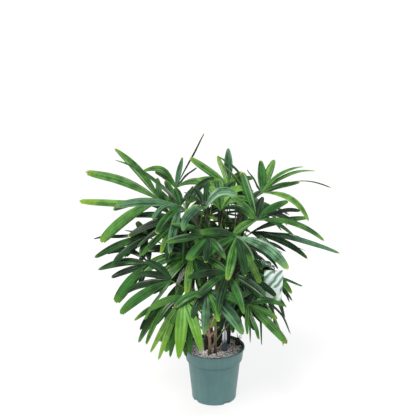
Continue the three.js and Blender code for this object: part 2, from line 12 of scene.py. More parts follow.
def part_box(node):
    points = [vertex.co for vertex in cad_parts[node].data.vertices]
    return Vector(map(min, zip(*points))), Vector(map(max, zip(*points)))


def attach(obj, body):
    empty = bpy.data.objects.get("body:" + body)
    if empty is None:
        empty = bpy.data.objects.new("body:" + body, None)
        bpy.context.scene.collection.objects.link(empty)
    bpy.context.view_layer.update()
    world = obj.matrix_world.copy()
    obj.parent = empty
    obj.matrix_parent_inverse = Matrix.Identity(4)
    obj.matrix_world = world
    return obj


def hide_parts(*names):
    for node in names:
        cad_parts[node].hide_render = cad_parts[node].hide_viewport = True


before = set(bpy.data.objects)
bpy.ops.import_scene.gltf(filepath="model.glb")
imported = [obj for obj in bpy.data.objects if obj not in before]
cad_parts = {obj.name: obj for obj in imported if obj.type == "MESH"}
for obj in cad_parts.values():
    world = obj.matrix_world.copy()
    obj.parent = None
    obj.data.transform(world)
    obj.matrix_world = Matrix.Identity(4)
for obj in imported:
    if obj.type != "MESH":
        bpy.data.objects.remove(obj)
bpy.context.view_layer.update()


# ---- Camera ----
# A long lens stands three metres in front of the pot. It is higher than the top of the plant and looks
# slightly down at it.

FRAME_PIXELS = 416
FOCAL_PIXELS = 947.7
SENSOR_MM = 36
CAMERA_PLACE = (-0.0213, -3.0, 1.557)
CAMERA_DIP_DEGREES = 16.24

scene = bpy.context.scene
camera = bpy.data.objects.new("camera", bpy.data.cameras.new("camera"))
camera.data.sensor_width = SENSOR_MM
camera.data.lens = SENSOR_MM * FOCAL_PIXELS / FRAME_PIXELS
camera.location = CAMERA_PLACE
camera.rotation_euler = (math.radians(90 - CAMERA_DIP_DEGREES), 0, 0)
scene.collection.objects.link(camera)
scene.camera = camera
scene.view_settings.view_transform = "Standard"


# ---- Studio ----
# A plain pale floor, lit from below so that shadows on it stay faint, under a pale even sky. A wide soft
# beam falls from above the front left, and a weaker lamp stands behind the right shoulder of the plant.

FLOOR_SIZE = 80.0
FLOOR_DROP = 0.0005
FLOOR_COLOUR = "737372"
FLOOR_GLOW = 0.8
SKY_COLOUR = "f8faff"
SKY_STRENGTH = 0.52
BEAM = {"place": (-0.8, -1.9, 3.2), "spread": 22, "strength": 3.2, "colour": "fffaf2"}
RIM = {"place": (1.9, 1.7, 2.6), "size": 1.8, "watts": 25, "colour": "eef4ff"}
LAMP_AIM = Vector((0, 0, 0.5))


def colour(code):
    """An sRGB hex code as a linear colour."""
    parts = [int(code[i:i + 2], 16) / 255 for i in (0, 2, 4)]
    return [p / 12.92 if p <= 0.04045 else ((p + 0.055) / 1.055) ** 2.4 for p in parts] + [1.0]


def add(tree, kind, inputs=None, **settings):
    """Adds a node. Each input is a value, or a node or socket to link from."""
    made = tree.nodes.new(kind)
    for name, value in settings.items():
        setattr(made, name, value)
    for key, value in (inputs or {}).items():
        if isinstance(value, bpy.types.Node):
            value = next(s for s in value.outputs if s.enabled)
        if isinstance(value, bpy.types.NodeSocket):
            tree.links.new(value, made.inputs[key])
        else:
            made.inputs[key].default_value = value
    return made


def new_material(name):
    """An empty material: its node tree and the output node."""
    material = bpy.data.materials.new(name)
    material.use_nodes = True
    material.node_tree.nodes.clear()
    return material, material.node_tree, add(material.node_tree, "ShaderNodeOutputMaterial")


# Studio floor: matt opal acrylic with lamps under it.
studio_floor, tree, output = new_material("matt_opal_acrylic")
paint = add(tree, "ShaderNodeBsdfPrincipled", {
    "Base Color": colour(FLOOR_COLOUR), "Roughness": 0.9, "Emission Color": colour("ffffff"),
    "Emission Strength": FLOOR_GLOW})
tree.links.new(paint.outputs[0], output.inputs[0])
half = FLOOR_SIZE / 2
floor_corners = [(-half, -half, 0), (half, -half, 0), (half, half, 0), (-half, half, 0)]
floor_mesh = bpy.data.meshes.new("floor")
floor_mesh.from_pydata(floor_corners, [], [(0, 1, 2, 3)])
floor_mesh.materials.append(studio_floor)
floor = bpy.data.objects.new("floor", floor_mesh)
floor.location.z = -FLOOR_DROP
scene.collection.objects.link(floor)

scene.world = bpy.data.worlds.new("sky")
scene.world.use_nodes = True
sky = scene.world.node_tree.nodes["Background"]
sky.inputs["Color"].default_value = colour(SKY_COLOUR)
sky.inputs["Strength"].default_value = SKY_STRENGTH
beam = bpy.data.lights.new("beam", "SUN")
beam.angle = math.radians(BEAM["spread"])
beam.energy = BEAM["strength"]
rim = bpy.data.lights.new("rim", "AREA")
rim.size = RIM["size"]
rim.energy = RIM["watts"]
for light, lamp in ((beam, BEAM), (rim, RIM)):
    light.color = colour(lamp["colour"])[:3]
    holder = bpy.data.objects.new(light.name, light)
    holder.location = lamp["place"]
    holder.rotation_euler = (LAMP_AIM - holder.location).to_track_quat("-Z", "Y").to_euler()
    scene.collection.objects.link(holder)


# ---- Pot ----
# An injection-moulded polypropylene nursery pot: a tapered body, a wider collar that stacks on the next
# pot, a turned-out lip, and drain slots cut through the edge of the floor.

# Sizes of pieces are written in millimetres, and MM turns them into metres.
MM = 0.001
POT_SEGMENTS = 144
POT_FLOOR = 2.5
POT_SLOTS = 4
POT_SLOT_FIRST_DEGREES = -56
POT_SLOT_WIDTH = 24
POT_SLOT_HEIGHT = 8
POT_SLOT_DEPTH = 12
POT_SLOT_RADIUS = 76
POT_SLOT_NARROWING = 0.8
POT_SHARP_DEGREES = 35

pot_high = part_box("pot")[1]
POT_HEIGHT = pot_high.z / MM
LIP_RADIUS = pot_high.x / MM
POT_OUTLINE = [
    (0, 1.2), (61, 1.2), (63, 0), (73.5, 0), (75, 0.5), (75.8, 1.8), (76.9, 8), (76.9, 9), (76.4, 9.8),
    (90.2, 141.5), (89.6, 142.4), (89.6, 144.2), (90.4, 144.8), (95.8, 144.8), (96.7, 145.2), (97, 146),
    (97.2, 148), (101.6, 182.2), (102.0, 183.5), (103.9, 183.9), (104.7, 184.4), (LIP_RADIUS, 185.4),
    (LIP_RADIUS, 188.4), (104.5, 189.6), (103.4, POT_HEIGHT), (101.2, POT_HEIGHT), (100.1, 189.5),
    (99.6, 188.2), (99.3, 183), (94.9, 148), (94.4, 147.3), (88.6, 147.1), (88.2, 146.6),
    (73.8, POT_FLOOR + 1), (72.8, POT_FLOOR), (0, POT_FLOOR),
]


def lathe(outline, segments):
    """Points and faces of an outline in millimetres turned about Z. It starts and ends on the axis."""
    points = []
    faces = []
    inner = outline[1:-1]
    for radius, height in inner:
        for i in range(segments):
            turn = 2 * math.pi * i / segments
            points.append((radius * MM * math.cos(turn), radius * MM * math.sin(turn), height * MM))
    for ring in range(len(inner) - 1):
        for i in range(segments):
            a, b = ring * segments + i, ring * segments + (i + 1) % segments
            faces.append((a, b, b + segments, a + segments))
    first, last = len(points), len(points) + 1
    points += [(0, 0, outline[0][1] * MM), (0, 0, outline[-1][1] * MM)]
    top = (len(inner) - 1) * segments
    for i in range(segments):
        after = (i + 1) % segments
        faces += [(first, after, i), (last, top + i, top + after)]
    return points, faces


def shade(ramp, stops):
    """Gives a colour ramp its stops, each a place from 0 to 1 and a linear colour."""
    elements = ramp.color_ramp.elements
    elements[0].position = stops[0][0]
    elements[-1].position = stops[-1][0]
    for position, _ in stops[1:-1]:
        elements.new(position)
    for element, (_, tone) in zip(elements, stops):
        element.color = tone


# Polypropylene, moulded against a fine-sparked steel tool: satin, even in colour, slightly paler where the
# wall is rubbed, with faint upright flow marks and a painted shadow, a dark band, under the collar's ledge.
# The flow marks are drawn 9 mm apart so that they show.
POT_COLOUR = "50787a"
POT_RUBBED = "5d8481"
POT_BLOTCH = 40
POT_GRAIN = 1.6
POT_FLOW = 9
POT_FLOW_SQUEEZE = 0.08
# The shadow that the collar's ledge casts on the body, painted as a dark band round the pot.
POT_LEDGE_SHADOW = {"colour": "2f4c4d", "height": 140.3, "half_width": 2.2, "share": 0.75}
pot_plastic, tree, output = new_material("moulded_polypropylene")
place = add(tree, "ShaderNodeTexCoord").outputs["Object"]
blotch = add(tree, "ShaderNodeTexNoise", {"Vector": place, "Scale": 1 / (POT_BLOTCH * MM), "Detail": 4.0})
flow_place = add(tree, "ShaderNodeMapping", {"Vector": place, "Scale": (1, 1, POT_FLOW_SQUEEZE)})
flow = add(tree, "ShaderNodeTexNoise", {"Vector": flow_place, "Scale": 1 / (POT_FLOW * MM), "Detail": 3.0})
both = add(tree, "ShaderNodeMath", {0: blotch.outputs["Fac"], 1: flow.outputs["Fac"]}, operation="MULTIPLY")
shades = add(tree, "ShaderNodeValToRGB", {"Fac": both})
shade(shades, [(0.12, colour(POT_COLOUR)), (0.45, colour(POT_RUBBED))])
# Painted shadow: the colour darkens in a band just under the collar's ledge.
height = add(tree, "ShaderNodeSeparateXYZ", {"Vector": place}).outputs["Z"]
from_ledge_shadow = add(tree, "ShaderNodeMath", {0: height, 1: POT_LEDGE_SHADOW["height"] * MM}, operation="SUBTRACT")
from_ledge_shadow = add(tree, "ShaderNodeMath", {0: from_ledge_shadow}, operation="ABSOLUTE")
ledge_shadow_mask = add(tree, "ShaderNodeMapRange", {
    "Value": from_ledge_shadow, "From Max": POT_LEDGE_SHADOW["half_width"] * MM, "To Min": POT_LEDGE_SHADOW["share"], "To Max": 0.0})
ledge_shadowed = add(tree, "ShaderNodeMix", {"Factor": ledge_shadow_mask, "A": shades, "B": colour(POT_LEDGE_SHADOW["colour"])},
            data_type="RGBA")
grain = add(tree, "ShaderNodeTexNoise", {"Vector": place, "Scale": 1 / (POT_GRAIN * MM), "Detail": 2.0})
relief = add(tree, "ShaderNodeBump", {"Height": grain.outputs["Fac"], "Strength": 0.15, "Distance": 0.2 * MM})
plastic = add(tree, "ShaderNodeBsdfPrincipled", {
    "Base Color": ledge_shadowed, "Normal": relief, "Roughness": 0.42, "IOR": 1.49})
tree.links.new(plastic.outputs[0], output.inputs[0])


def new_piece(name, points, faces, materials, slot):
    """A mesh piece at the origin that rides on the plant's one body."""
    mesh = bpy.data.meshes.new(name)
    mesh.from_pydata([tuple(p) for p in points], [], faces)
    for material in materials:
        mesh.materials.append(material)
    piece = bpy.data.objects.new(name, mesh)
    scene.collection.objects.link(piece)
    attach(piece, "root")
    return piece


def settle(piece):
    """Turns a piece with its modifiers into a plain mesh."""
    shown = bpy.context.evaluated_depsgraph_get()
    mesh = bpy.data.meshes.new_from_object(piece.evaluated_get(shown), depsgraph=shown)
    piece.modifiers.clear()
    piece.data = mesh


def cut_away(piece, shape, name):
    """Cuts a closed shape, built up in bmesh, out of a piece and makes the piece a plain mesh."""
    mesh = bpy.data.meshes.new(name)
    shape.to_mesh(mesh)
    shape.free()
    cutter = bpy.data.objects.new(name, mesh)
    scene.collection.objects.link(cutter)
    cut = piece.modifiers.new(name, "BOOLEAN")
    cut.object = cutter
    cut.solver = "EXACT"
    settle(piece)
    bpy.data.objects.remove(cutter)


pot = new_piece("nursery_pot", *lathe(POT_OUTLINE, POT_SEGMENTS), [pot_plastic], "pot_plastic")
slots = bmesh.new()
for i in range(POT_SLOTS):
    turn = math.radians(POT_SLOT_FIRST_DEGREES + 360 * i / POT_SLOTS)
    for corner in bmesh.ops.create_cube(slots, size=1)["verts"]:
        narrowing = POT_SLOT_NARROWING if corner.co.z > 0 else 1.0
        x = corner.co.x * POT_SLOT_DEPTH + POT_SLOT_RADIUS
        y = corner.co.y * POT_SLOT_WIDTH * narrowing
        z = corner.co.z * 2 * POT_SLOT_HEIGHT
        corner.co = Vector((
            x * math.cos(turn) - y * math.sin(turn), x * math.sin(turn) + y * math.cos(turn), z)) * MM
cut_away(pot, slots, "drain_slots")
pot.data.shade_smooth()
pot.data.set_sharp_from_angle(angle=math.radians(POT_SHARP_DEGREES))
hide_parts("pot")


# ---- Potting mix and gravel ----
# Damp peat and bark fill the pot to just under the lip. A layer of loose washed gravel, five to nine
# millimetres in size, covers it, with a few chips of bark and dry sheath among the stones.

GRAVEL_RADIUS = 94
GRAVEL_SPACING = 5.6
GRAVEL_SIZE = 5.2
GRAVEL_SEED = 4
PEBBLE_SPREAD = [(0.7, 0.6, 0.45), (1.35, 1.05, 0.8)]
CHIP_SPACING = 26
CHIP_SIZE = 3.2
CHIP_LIFT = 2.5
CHIP_SHAPE = (2.6, 1.1, 0.35)
CHIP_SPREAD = [(0.7, 0.7, 0.7), (1.4, 1.4, 1.4)]
STREWN_MOST_PER_M2 = 90000.0
STREWN_LAST_TINT = 9
STREWN_LEAN = 0.4
STREWN_LUMP = 5
GRAVEL_COLOURS = {
    "grey": ("e2dcdc", 0), "white": ("fdfafa", 3), "mauve": ("dccfd6", 6), "brown": ("bba79e", 9)}
STONE_TONES = (0.85, 1.35)
STONE_SPECKLE = 1.5


def patchy_material(name, patch, detail, dark, pale, roughness, relief=None, spread=(0, 1)):
    """Plant matter in soft patches of two tones, so many millimetres wide. The relief is the strength of its
    bumps and their height in millimetres. Over the spread of the noise the dark tone turns into the pale."""
    material, tree, output = new_material(name)
    place = add(tree, "ShaderNodeTexCoord").outputs["Object"]
    patches = add(tree, "ShaderNodeTexNoise", {"Vector": place, "Scale": 1 / (patch * MM), "Detail": detail})
    shades = add(tree, "ShaderNodeValToRGB", {"Fac": patches.outputs["Fac"]})
    shade(shades, [(spread[0], colour(dark)), (spread[1], colour(pale))])
    surface = add(tree, "ShaderNodeBsdfPrincipled", {"Base Color": shades, "Roughness": roughness})
    if relief:
        strength, height = relief
        bumps = add(tree, "ShaderNodeBump", {
            "Height": patches.outputs["Fac"], "Strength": strength, "Distance": height * MM})
        tree.links.new(bumps.outputs[0], surface.inputs["Normal"])
    tree.links.new(surface.outputs[0], output.inputs[0])
    return material


# Peat and bark: dark brown, crumbly, no gloss.
peat = patchy_material("damp_peat_and_bark", 4, 6.0, "4a3f3a", "93857d", 0.95, relief=(0.8, 2))
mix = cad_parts["potting_mix"]
mix.data.materials.clear()
mix.data.materials.append(peat)


def stone_material(name, code):
    """Washed river gravel: matt, speckled stone of one main colour."""
    material, tree, output = new_material(name)
    place = add(tree, "ShaderNodeTexCoord").outputs["Object"]
    speckle = add(tree, "ShaderNodeTexNoise", {
        "Vector": place, "Scale": 1 / (STONE_SPECKLE * MM), "Detail": 3.0})
    dark, pale = ([min(1, tone * part) for part in colour(code)[:3]] + [1] for tone in STONE_TONES)
    shades = add(tree, "ShaderNodeMix", {"Factor": speckle.outputs["Fac"], "A": dark, "B": pale},
                 data_type="RGBA")
    relief = add(tree, "ShaderNodeBump", {
        "Height": speckle.outputs["Fac"], "Strength": 0.4, "Distance": 0.4 * MM})
    stone = add(tree, "ShaderNodeBsdfPrincipled", {"Base Color": shades, "Normal": relief, "Roughness": 0.8})
    tree.links.new(stone.outputs[0], output.inputs[0])
    return material


def new_tree(name, sockets):
    """A Geometry Nodes tree with named inputs, and its input and output nodes."""
    tree = bpy.data.node_groups.new(name, "GeometryNodeTree")
    tree.interface.new_socket("Geometry", in_out="INPUT", socket_type="NodeSocketGeometry")
    tree.interface.new_socket("Geometry", in_out="OUTPUT", socket_type="NodeSocketGeometry")
    for title, kind in sockets.items():
        tree.interface.new_socket(title, in_out="INPUT", socket_type="NodeSocket" + kind)
    return tree, add(tree, "NodeGroupInput"), add(tree, "NodeGroupOutput")


def grow(name, tree, values, mesh=None):
    """A plain mesh piece: what a tree makes with these input values, from a start mesh if it takes one."""
    piece = bpy.data.objects.new(name, mesh or bpy.data.meshes.new(name))
    scene.collection.objects.link(piece)
    growth = piece.modifiers.new("growth", "NODES")
    growth.node_group = tree
    for item in tree.interface.items_tree:
        if item.in_out == "INPUT" and item.name in values:
            growth[item.identifier] = values[item.name]
    settle(piece)
    piece.data.shade_smooth()
    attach(piece, "root")
    return piece


def scatter_tree(name, shape, least, most, finishes):
    """A tree that strews a shape over a level disc. Each copy is turned and sized at random, and takes its
    material by a random tint: a finish covers the tints from its own first one upwards."""
    tree, given, result = new_tree(name, {
        "Radius": "Float", "Height": "Float", "Spacing": "Float", "Size": "Float", "Seed": "Int"})
    seed = given.outputs["Seed"]
    disc = add(tree, "GeometryNodeMeshCircle", {"Vertices": 64, "Radius": given.outputs["Radius"]},
               fill_type="NGON")
    level = add(tree, "ShaderNodeCombineXYZ", {"Z": given.outputs["Height"]})
    bed = add(tree, "GeometryNodeTransform", {"Geometry": disc, "Translation": level})
    spots = add(tree, "GeometryNodeDistributePointsOnFaces", {
        "Mesh": bed, "Distance Min": given.outputs["Spacing"], "Density Max": STREWN_MOST_PER_M2,
        "Seed": seed}, distribute_method="POISSON")
    tint = add(tree, "FunctionNodeRandomValue", {4: 0, 5: STREWN_LAST_TINT, "Seed": seed}, data_type="INT")
    marked = add(tree, "GeometryNodeStoreNamedAttribute", {"Geometry": spots, "Name": "tint", "Value": tint},
                 data_type="INT", domain="POINT")
    turn = add(tree, "FunctionNodeRandomValue", {
        0: (-STREWN_LEAN, -STREWN_LEAN, 0), 1: (STREWN_LEAN, STREWN_LEAN, 2 * math.pi), "Seed": seed},
        data_type="FLOAT_VECTOR")
    size = add(tree, "FunctionNodeRandomValue", {0: least, 1: most, "Seed": seed}, data_type="FLOAT_VECTOR")
    scale = add(tree, "ShaderNodeVectorMath", {0: size, 3: given.outputs["Size"]}, operation="SCALE")
    laid = add(tree, "GeometryNodeInstanceOnPoints", {
        "Points": marked, "Instance": shape(tree), "Rotation": turn, "Scale": scale})
    real = add(tree, "GeometryNodeRealizeInstances", {"Geometry": laid})
    lumps = add(tree, "ShaderNodeTexNoise", {
        "Vector": add(tree, "GeometryNodeInputPosition"), "Scale": 1 / (STREWN_LUMP * MM), "Detail": 1.0})
    unevenness = add(tree, "ShaderNodeMath", {0: lumps.outputs["Fac"], 1: 0.5}, operation="SUBTRACT")
    amount = add(tree, "ShaderNodeMath", {0: unevenness, 1: given.outputs["Size"]}, operation="MULTIPLY")
    offset = add(tree, "ShaderNodeVectorMath", {0: add(tree, "GeometryNodeInputNormal"), 3: amount},
                 operation="SCALE")
    strewn = add(tree, "GeometryNodeSetPosition", {"Geometry": real, "Offset": offset})
    tints = add(tree, "GeometryNodeInputNamedAttribute", {"Name": "tint"}, data_type="INT")
    for material, first_tint in finishes:
        chosen = add(tree, "FunctionNodeCompare", {2: tints, 3: first_tint}, data_type="INT",
                     operation="GREATER_EQUAL")
        strewn = add(tree, "GeometryNodeSetMaterial", {
            "Geometry": strewn, "Selection": chosen, "Material": material})
    tree.links.new(strewn.outputs[0], result.inputs[0])
    return tree


mix_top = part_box("potting_mix")[1].z
stones = [
    (stone_material(f"river_gravel_{name}", code), first) for name, (code, first) in GRAVEL_COLOURS.items()]
pebble_tree = scatter_tree(
    "strewn_gravel", lambda tree: add(tree, "GeometryNodeMeshIcoSphere", {"Radius": 1.0, "Subdivisions": 2}),
    *PEBBLE_SPREAD, stones)
grow("gravel", pebble_tree, {
    "Radius": GRAVEL_RADIUS * MM, "Height": mix_top, "Spacing": GRAVEL_SPACING * MM, "Size": GRAVEL_SIZE * MM,
    "Seed": GRAVEL_SEED})

# Pine bark and dry sheath: rough, fibrous, mid brown.
bark = patchy_material("pine_bark_chips", 2, 5.0, "3a281b", "8a6747", 0.9, relief=(0.6, 0.6))
chip_tree = scatter_tree(
    "strewn_bark", lambda tree: add(tree, "GeometryNodeMeshCube", {
        "Size": CHIP_SHAPE, "Vertices X": 4, "Vertices Y": 3, "Vertices Z": 2}),
    *CHIP_SPREAD, [(bark, 0)])
grow("bark_chips", chip_tree, {
    "Radius": GRAVEL_RADIUS * MM, "Height": mix_top + CHIP_LIFT * MM, "Spacing": CHIP_SPACING * MM,
    "Size": CHIP_SIZE * MM, "Seed": GRAVEL_SEED + 1})


# ---- Canes ----
# Thin upright stems from one root. The old ones are dark and rough with the remains of leaf sheaths, with a
# raised ring where each leaf was. Two young ones at the front are slim, bare and pinkish brown: one all the
# way up, and one at its foot.

CANE_SIDES = 12
CANE_STEPS = 24
CANE_RING_SPACING = 28
CANE_RING_RISE = 0.16
CANE_RING_SHARPNESS = 16
CANE_TUBE_STEP = 4
CANE_BUD = 0.35
STUB_STEPS = 4
YOUNG_SHARE = 0.72
YOUNG_CANES = ["cane_01", "cane_02"]
BARE_STEPS = {"cane_01": 24, "cane_02": 7}
OLD_CANES = [f"cane_{i:02d}" for i in range(3, 11)]
CAD_CANE_SIDES = 6
MERGE = 1e-6


def joined_corners(name):
    """A CAD node's corners with the doubles merged, and for each the numbers of its neighbours."""
    copy = bmesh.new()
    copy.from_mesh(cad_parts[name].data)
    bmesh.ops.remove_doubles(copy, verts=copy.verts, dist=MERGE)
    copy.verts.index_update()
    places = [np.array(corner.co) for corner in copy.verts]
    linked = [{edge.other_vert(corner).index for edge in corner.link_edges} for corner in copy.verts]
    copy.free()
    return places, linked


def bend(start, knee, end, shares):
    """Points along the quadratic curve from start to end."""
    return [(1 - t) ** 2 * start + 2 * t * (1 - t) * knee + t ** 2 * end for t in shares]


def tube_tree(name):
    """A tree that turns lines of points with a thickness into tubes, ringed at even steps."""
    tree, given, result = new_tree(name, {
        "Sides": "Int", "Step": "Float", "Ring Spacing": "Float", "Ring Rise": "Float",
        "Material": "Material"})
    lines = add(tree, "GeometryNodeMeshToCurve", {"Mesh": given.outputs["Geometry"]})
    fine = add(tree, "GeometryNodeResampleCurve", {"Curve": lines, "Length": given.outputs["Step"]},
               mode="LENGTH")
    length = add(tree, "GeometryNodeSplineParameter").outputs["Length"]
    count = add(tree, "ShaderNodeMath", {0: length, 1: given.outputs["Ring Spacing"]}, operation="DIVIDE")
    angle = add(tree, "ShaderNodeMath", {0: count, 1: math.pi}, operation="MULTIPLY")
    swing = add(tree, "ShaderNodeMath", {0: angle}, operation="COSINE")
    size = add(tree, "ShaderNodeMath", {0: swing}, operation="ABSOLUTE")
    peak = add(tree, "ShaderNodeMath", {0: size, 1: CANE_RING_SHARPNESS}, operation="POWER")
    swell = add(tree, "ShaderNodeMath", {0: peak, 1: given.outputs["Ring Rise"], 2: 1.0},
                operation="MULTIPLY_ADD")
    thickness = add(tree, "GeometryNodeInputNamedAttribute", {"Name": "thickness"}, data_type="FLOAT")
    radius = add(tree, "ShaderNodeMath", {0: swell, 1: thickness}, operation="MULTIPLY")
    section = add(tree, "GeometryNodeCurvePrimitiveCircle", {
        "Resolution": given.outputs["Sides"], "Radius": 1.0})
    tube = add(tree, "GeometryNodeCurveToMesh", {
        "Curve": fine, "Profile Curve": section, "Scale": radius, "Fill Caps": True})
    real = add(tree, "GeometryNodeRealizeInstances", {"Geometry": tube})
    dressed = add(tree, "GeometryNodeSetMaterial", {"Geometry": real, "Material": given.outputs["Material"]})
    tree.links.new(dressed.outputs[0], result.inputs[0])
    return tree


def lines_mesh(name, lines):
    """A mesh of open lines. Each line is a list of points and a list of their thicknesses, in metres."""
    mesh = bpy.data.meshes.new(name)
    points = [point for line, _ in lines for point in line]
    edges = []
    for line, _ in lines:
        first = edges[-1][1] + 1 if edges else 0
        edges += [(first + i, first + i + 1) for i in range(len(line) - 1)]
    mesh.from_pydata(points, edges, [])
    thickness = mesh.attributes.new("thickness", "FLOAT", "POINT")
    thickness.data.foreach_set("value", [size for _, sizes in lines for size in sizes])
    return mesh


def cane_line(name, share=1.0):
    """A cane's middle line and a share of its thickness, read off the level rings of its CAD node."""
    corners = sorted(joined_corners(name)[0], key=lambda corner: corner[2])
    rings = [np.array(corners[i:i + CAD_CANE_SIDES]) for i in range(0, len(corners), CAD_CANE_SIDES)]
    foot, middle, top = (rings[k].mean(axis=0) for k in (0, len(rings) // 2, -1))
    foot_radius, top_radius = (np.linalg.norm(rings[k][0] - rings[k].mean(axis=0)) for k in (0, -1))
    knee = 2 * middle - (foot + top) / 2
    shares = np.linspace(0, 1, CANE_STEPS)
    sizes = [share * (foot_radius + (top_radius - foot_radius) * t) for t in shares]
    sizes[-1] *= CANE_BUD
    return bend(foot, knee, top, shares), sizes


CANE_FIBRE = 2.5
CANE_FIBRE_SQUEEZE = 0.08
CANE_FOOT_HEIGHT = 0.215
CANE_FOOT_FADE = 0.06


def cane_material(name, dark, pale, foot, roughness):
    """Palm cane: fine upright fibres, drawn 2.5 mm wide and 30 mm long so that they show. It takes another
    colour near the gravel."""
    material, tree, output = new_material(name)
    place = add(tree, "ShaderNodeTexCoord").outputs["Object"]
    drawn_out = add(tree, "ShaderNodeMapping", {"Vector": place, "Scale": (1, 1, CANE_FIBRE_SQUEEZE)})
    fibre = add(tree, "ShaderNodeTexNoise", {
        "Vector": drawn_out, "Scale": 1 / (CANE_FIBRE * MM), "Detail": 4.0})
    shades = add(tree, "ShaderNodeValToRGB", {"Fac": fibre.outputs["Fac"]})
    shade(shades, [(0.3, colour(dark)), (0.7, colour(pale))])
    height = add(tree, "ShaderNodeSeparateXYZ", {"Vector": place}).outputs["Z"]
    wander = add(tree, "ShaderNodeMath", {0: fibre.outputs["Fac"], 1: CANE_FOOT_FADE, 2: height},
                 operation="MULTIPLY_ADD")
    above_foot = add(tree, "ShaderNodeMapRange", {
        "Value": wander, "From Min": CANE_FOOT_HEIGHT, "From Max": CANE_FOOT_HEIGHT + CANE_FOOT_FADE})
    tinted = add(tree, "ShaderNodeMix", {"Factor": above_foot, "A": colour(foot), "B": shades},
                 data_type="RGBA")
    relief = add(tree, "ShaderNodeBump", {
        "Height": fibre.outputs["Fac"], "Strength": 0.5, "Distance": 0.6 * MM})
    stem = add(tree, "ShaderNodeBsdfPrincipled", {
        "Base Color": tinted, "Normal": relief, "Roughness": roughness})
    tree.links.new(stem.outputs[0], output.inputs[0])
    return material


cane_tree = tube_tree("ringed_cane")
cane_sizes = {
    "Sides": CANE_SIDES, "Step": CANE_TUBE_STEP * MM, "Ring Spacing": CANE_RING_SPACING * MM,
    "Ring Rise": CANE_RING_RISE}
bare_lines = []
grown_lines = []
for name in YOUNG_CANES:
    points, sizes = cane_line(name, YOUNG_SHARE)
    bare = BARE_STEPS[name]
    bare_lines.append((points[:bare], sizes[:bare]))
    if bare < CANE_STEPS:
        grown_lines.append((points[bare - 1:], sizes[bare - 1:]))
smooth_cane = cane_material("smooth_young_cane", dark="74574a", pale="b8988a", foot="4e4536", roughness=0.55)
young_canes = grow("young_canes", cane_tree, {**cane_sizes, "Material": smooth_cane},
                   lines_mesh("young_canes", bare_lines))
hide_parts(*YOUNG_CANES)

stub_low, stub_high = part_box("cane_stub")
stub_middle = (stub_low + stub_high) / 2
stub_radius = (stub_high.y - stub_low.y) / 2
stub_line = [
    np.array((stub_middle.x, stub_middle.y, z)) for z in np.linspace(stub_low.z, stub_high.z, STUB_STEPS)]
old_lines = [cane_line(name) for name in OLD_CANES] + grown_lines
old_lines.append((stub_line, [stub_radius] * STUB_STEPS))
rough_cane = cane_material("fibrous_old_cane", dark="191e17", pale="4d5643", foot="2c1512", roughness=0.9)
old_canes = grow("old_canes", cane_tree, {**cane_sizes, "Material": rough_cane},
                 lines_mesh("old_canes", old_lines))
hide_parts(*OLD_CANES, "cane_stub")


# ---- Leaf stalks and their sheaths ----
# Each frond stands on a smooth green stalk. Its foot is wrapped round the cane in a sheath that dries to a
# coarse brown net of fibres.

FROND_NAMES = [f"frond_{i:02d}" for i in range(1, 46)]
NEAR_STATION = 0.25
FAR_STATION = 0.76
HUB_REACH = 15
STALK_RING_CORNERS = 4
STALK_PAST_HUB = 5
STALK_STEPS = 16
STALK_SIZES = [(0.0, 3.4), (0.15, 2.9), (0.6, 2.1), (0.9, 2.1), (1.0, 3.2)]
SHEATH_BELOW = 46
SHEATH_BELOW_SHARES = (1, 0.66, 0.33)
SHEATH_ABOVE = 34
SHEATH_ABOVE_STEPS = 5
SHEATH_SIZES = [(0.0, 6.6), (0.4, 7.6), (0.62, 6.8), (0.85, 4.4), (1.0, 2.9)]


def curve_through(near, far, tip):
    """Start and knee of the quadratic curve to tip that passes near and far at the two stations."""
    weights = [[(1 - t) ** 2, 2 * t * (1 - t)] for t in (NEAR_STATION, FAR_STATION)]
    return np.linalg.solve(weights, [near - NEAR_STATION ** 2 * tip, far - FAR_STATION ** 2 * tip])


def unit(vector):
    """The same direction at length 1."""
    return vector / np.linalg.norm(vector)


def read_ring(places, ring):
    """The middle, upward face direction and width of a leaflet's three-cornered ring."""
    a, b, keel = max(
        ((p, q, next(iter(ring - {p, q}))) for p in ring for q in ring if p < q),
        key=lambda trio: np.linalg.norm(places[trio[0]] - places[trio[1]]))
    middle = (places[a] + places[b]) / 2
    return middle, unit(places[keel] - middle), np.linalg.norm(places[a] - places[b])


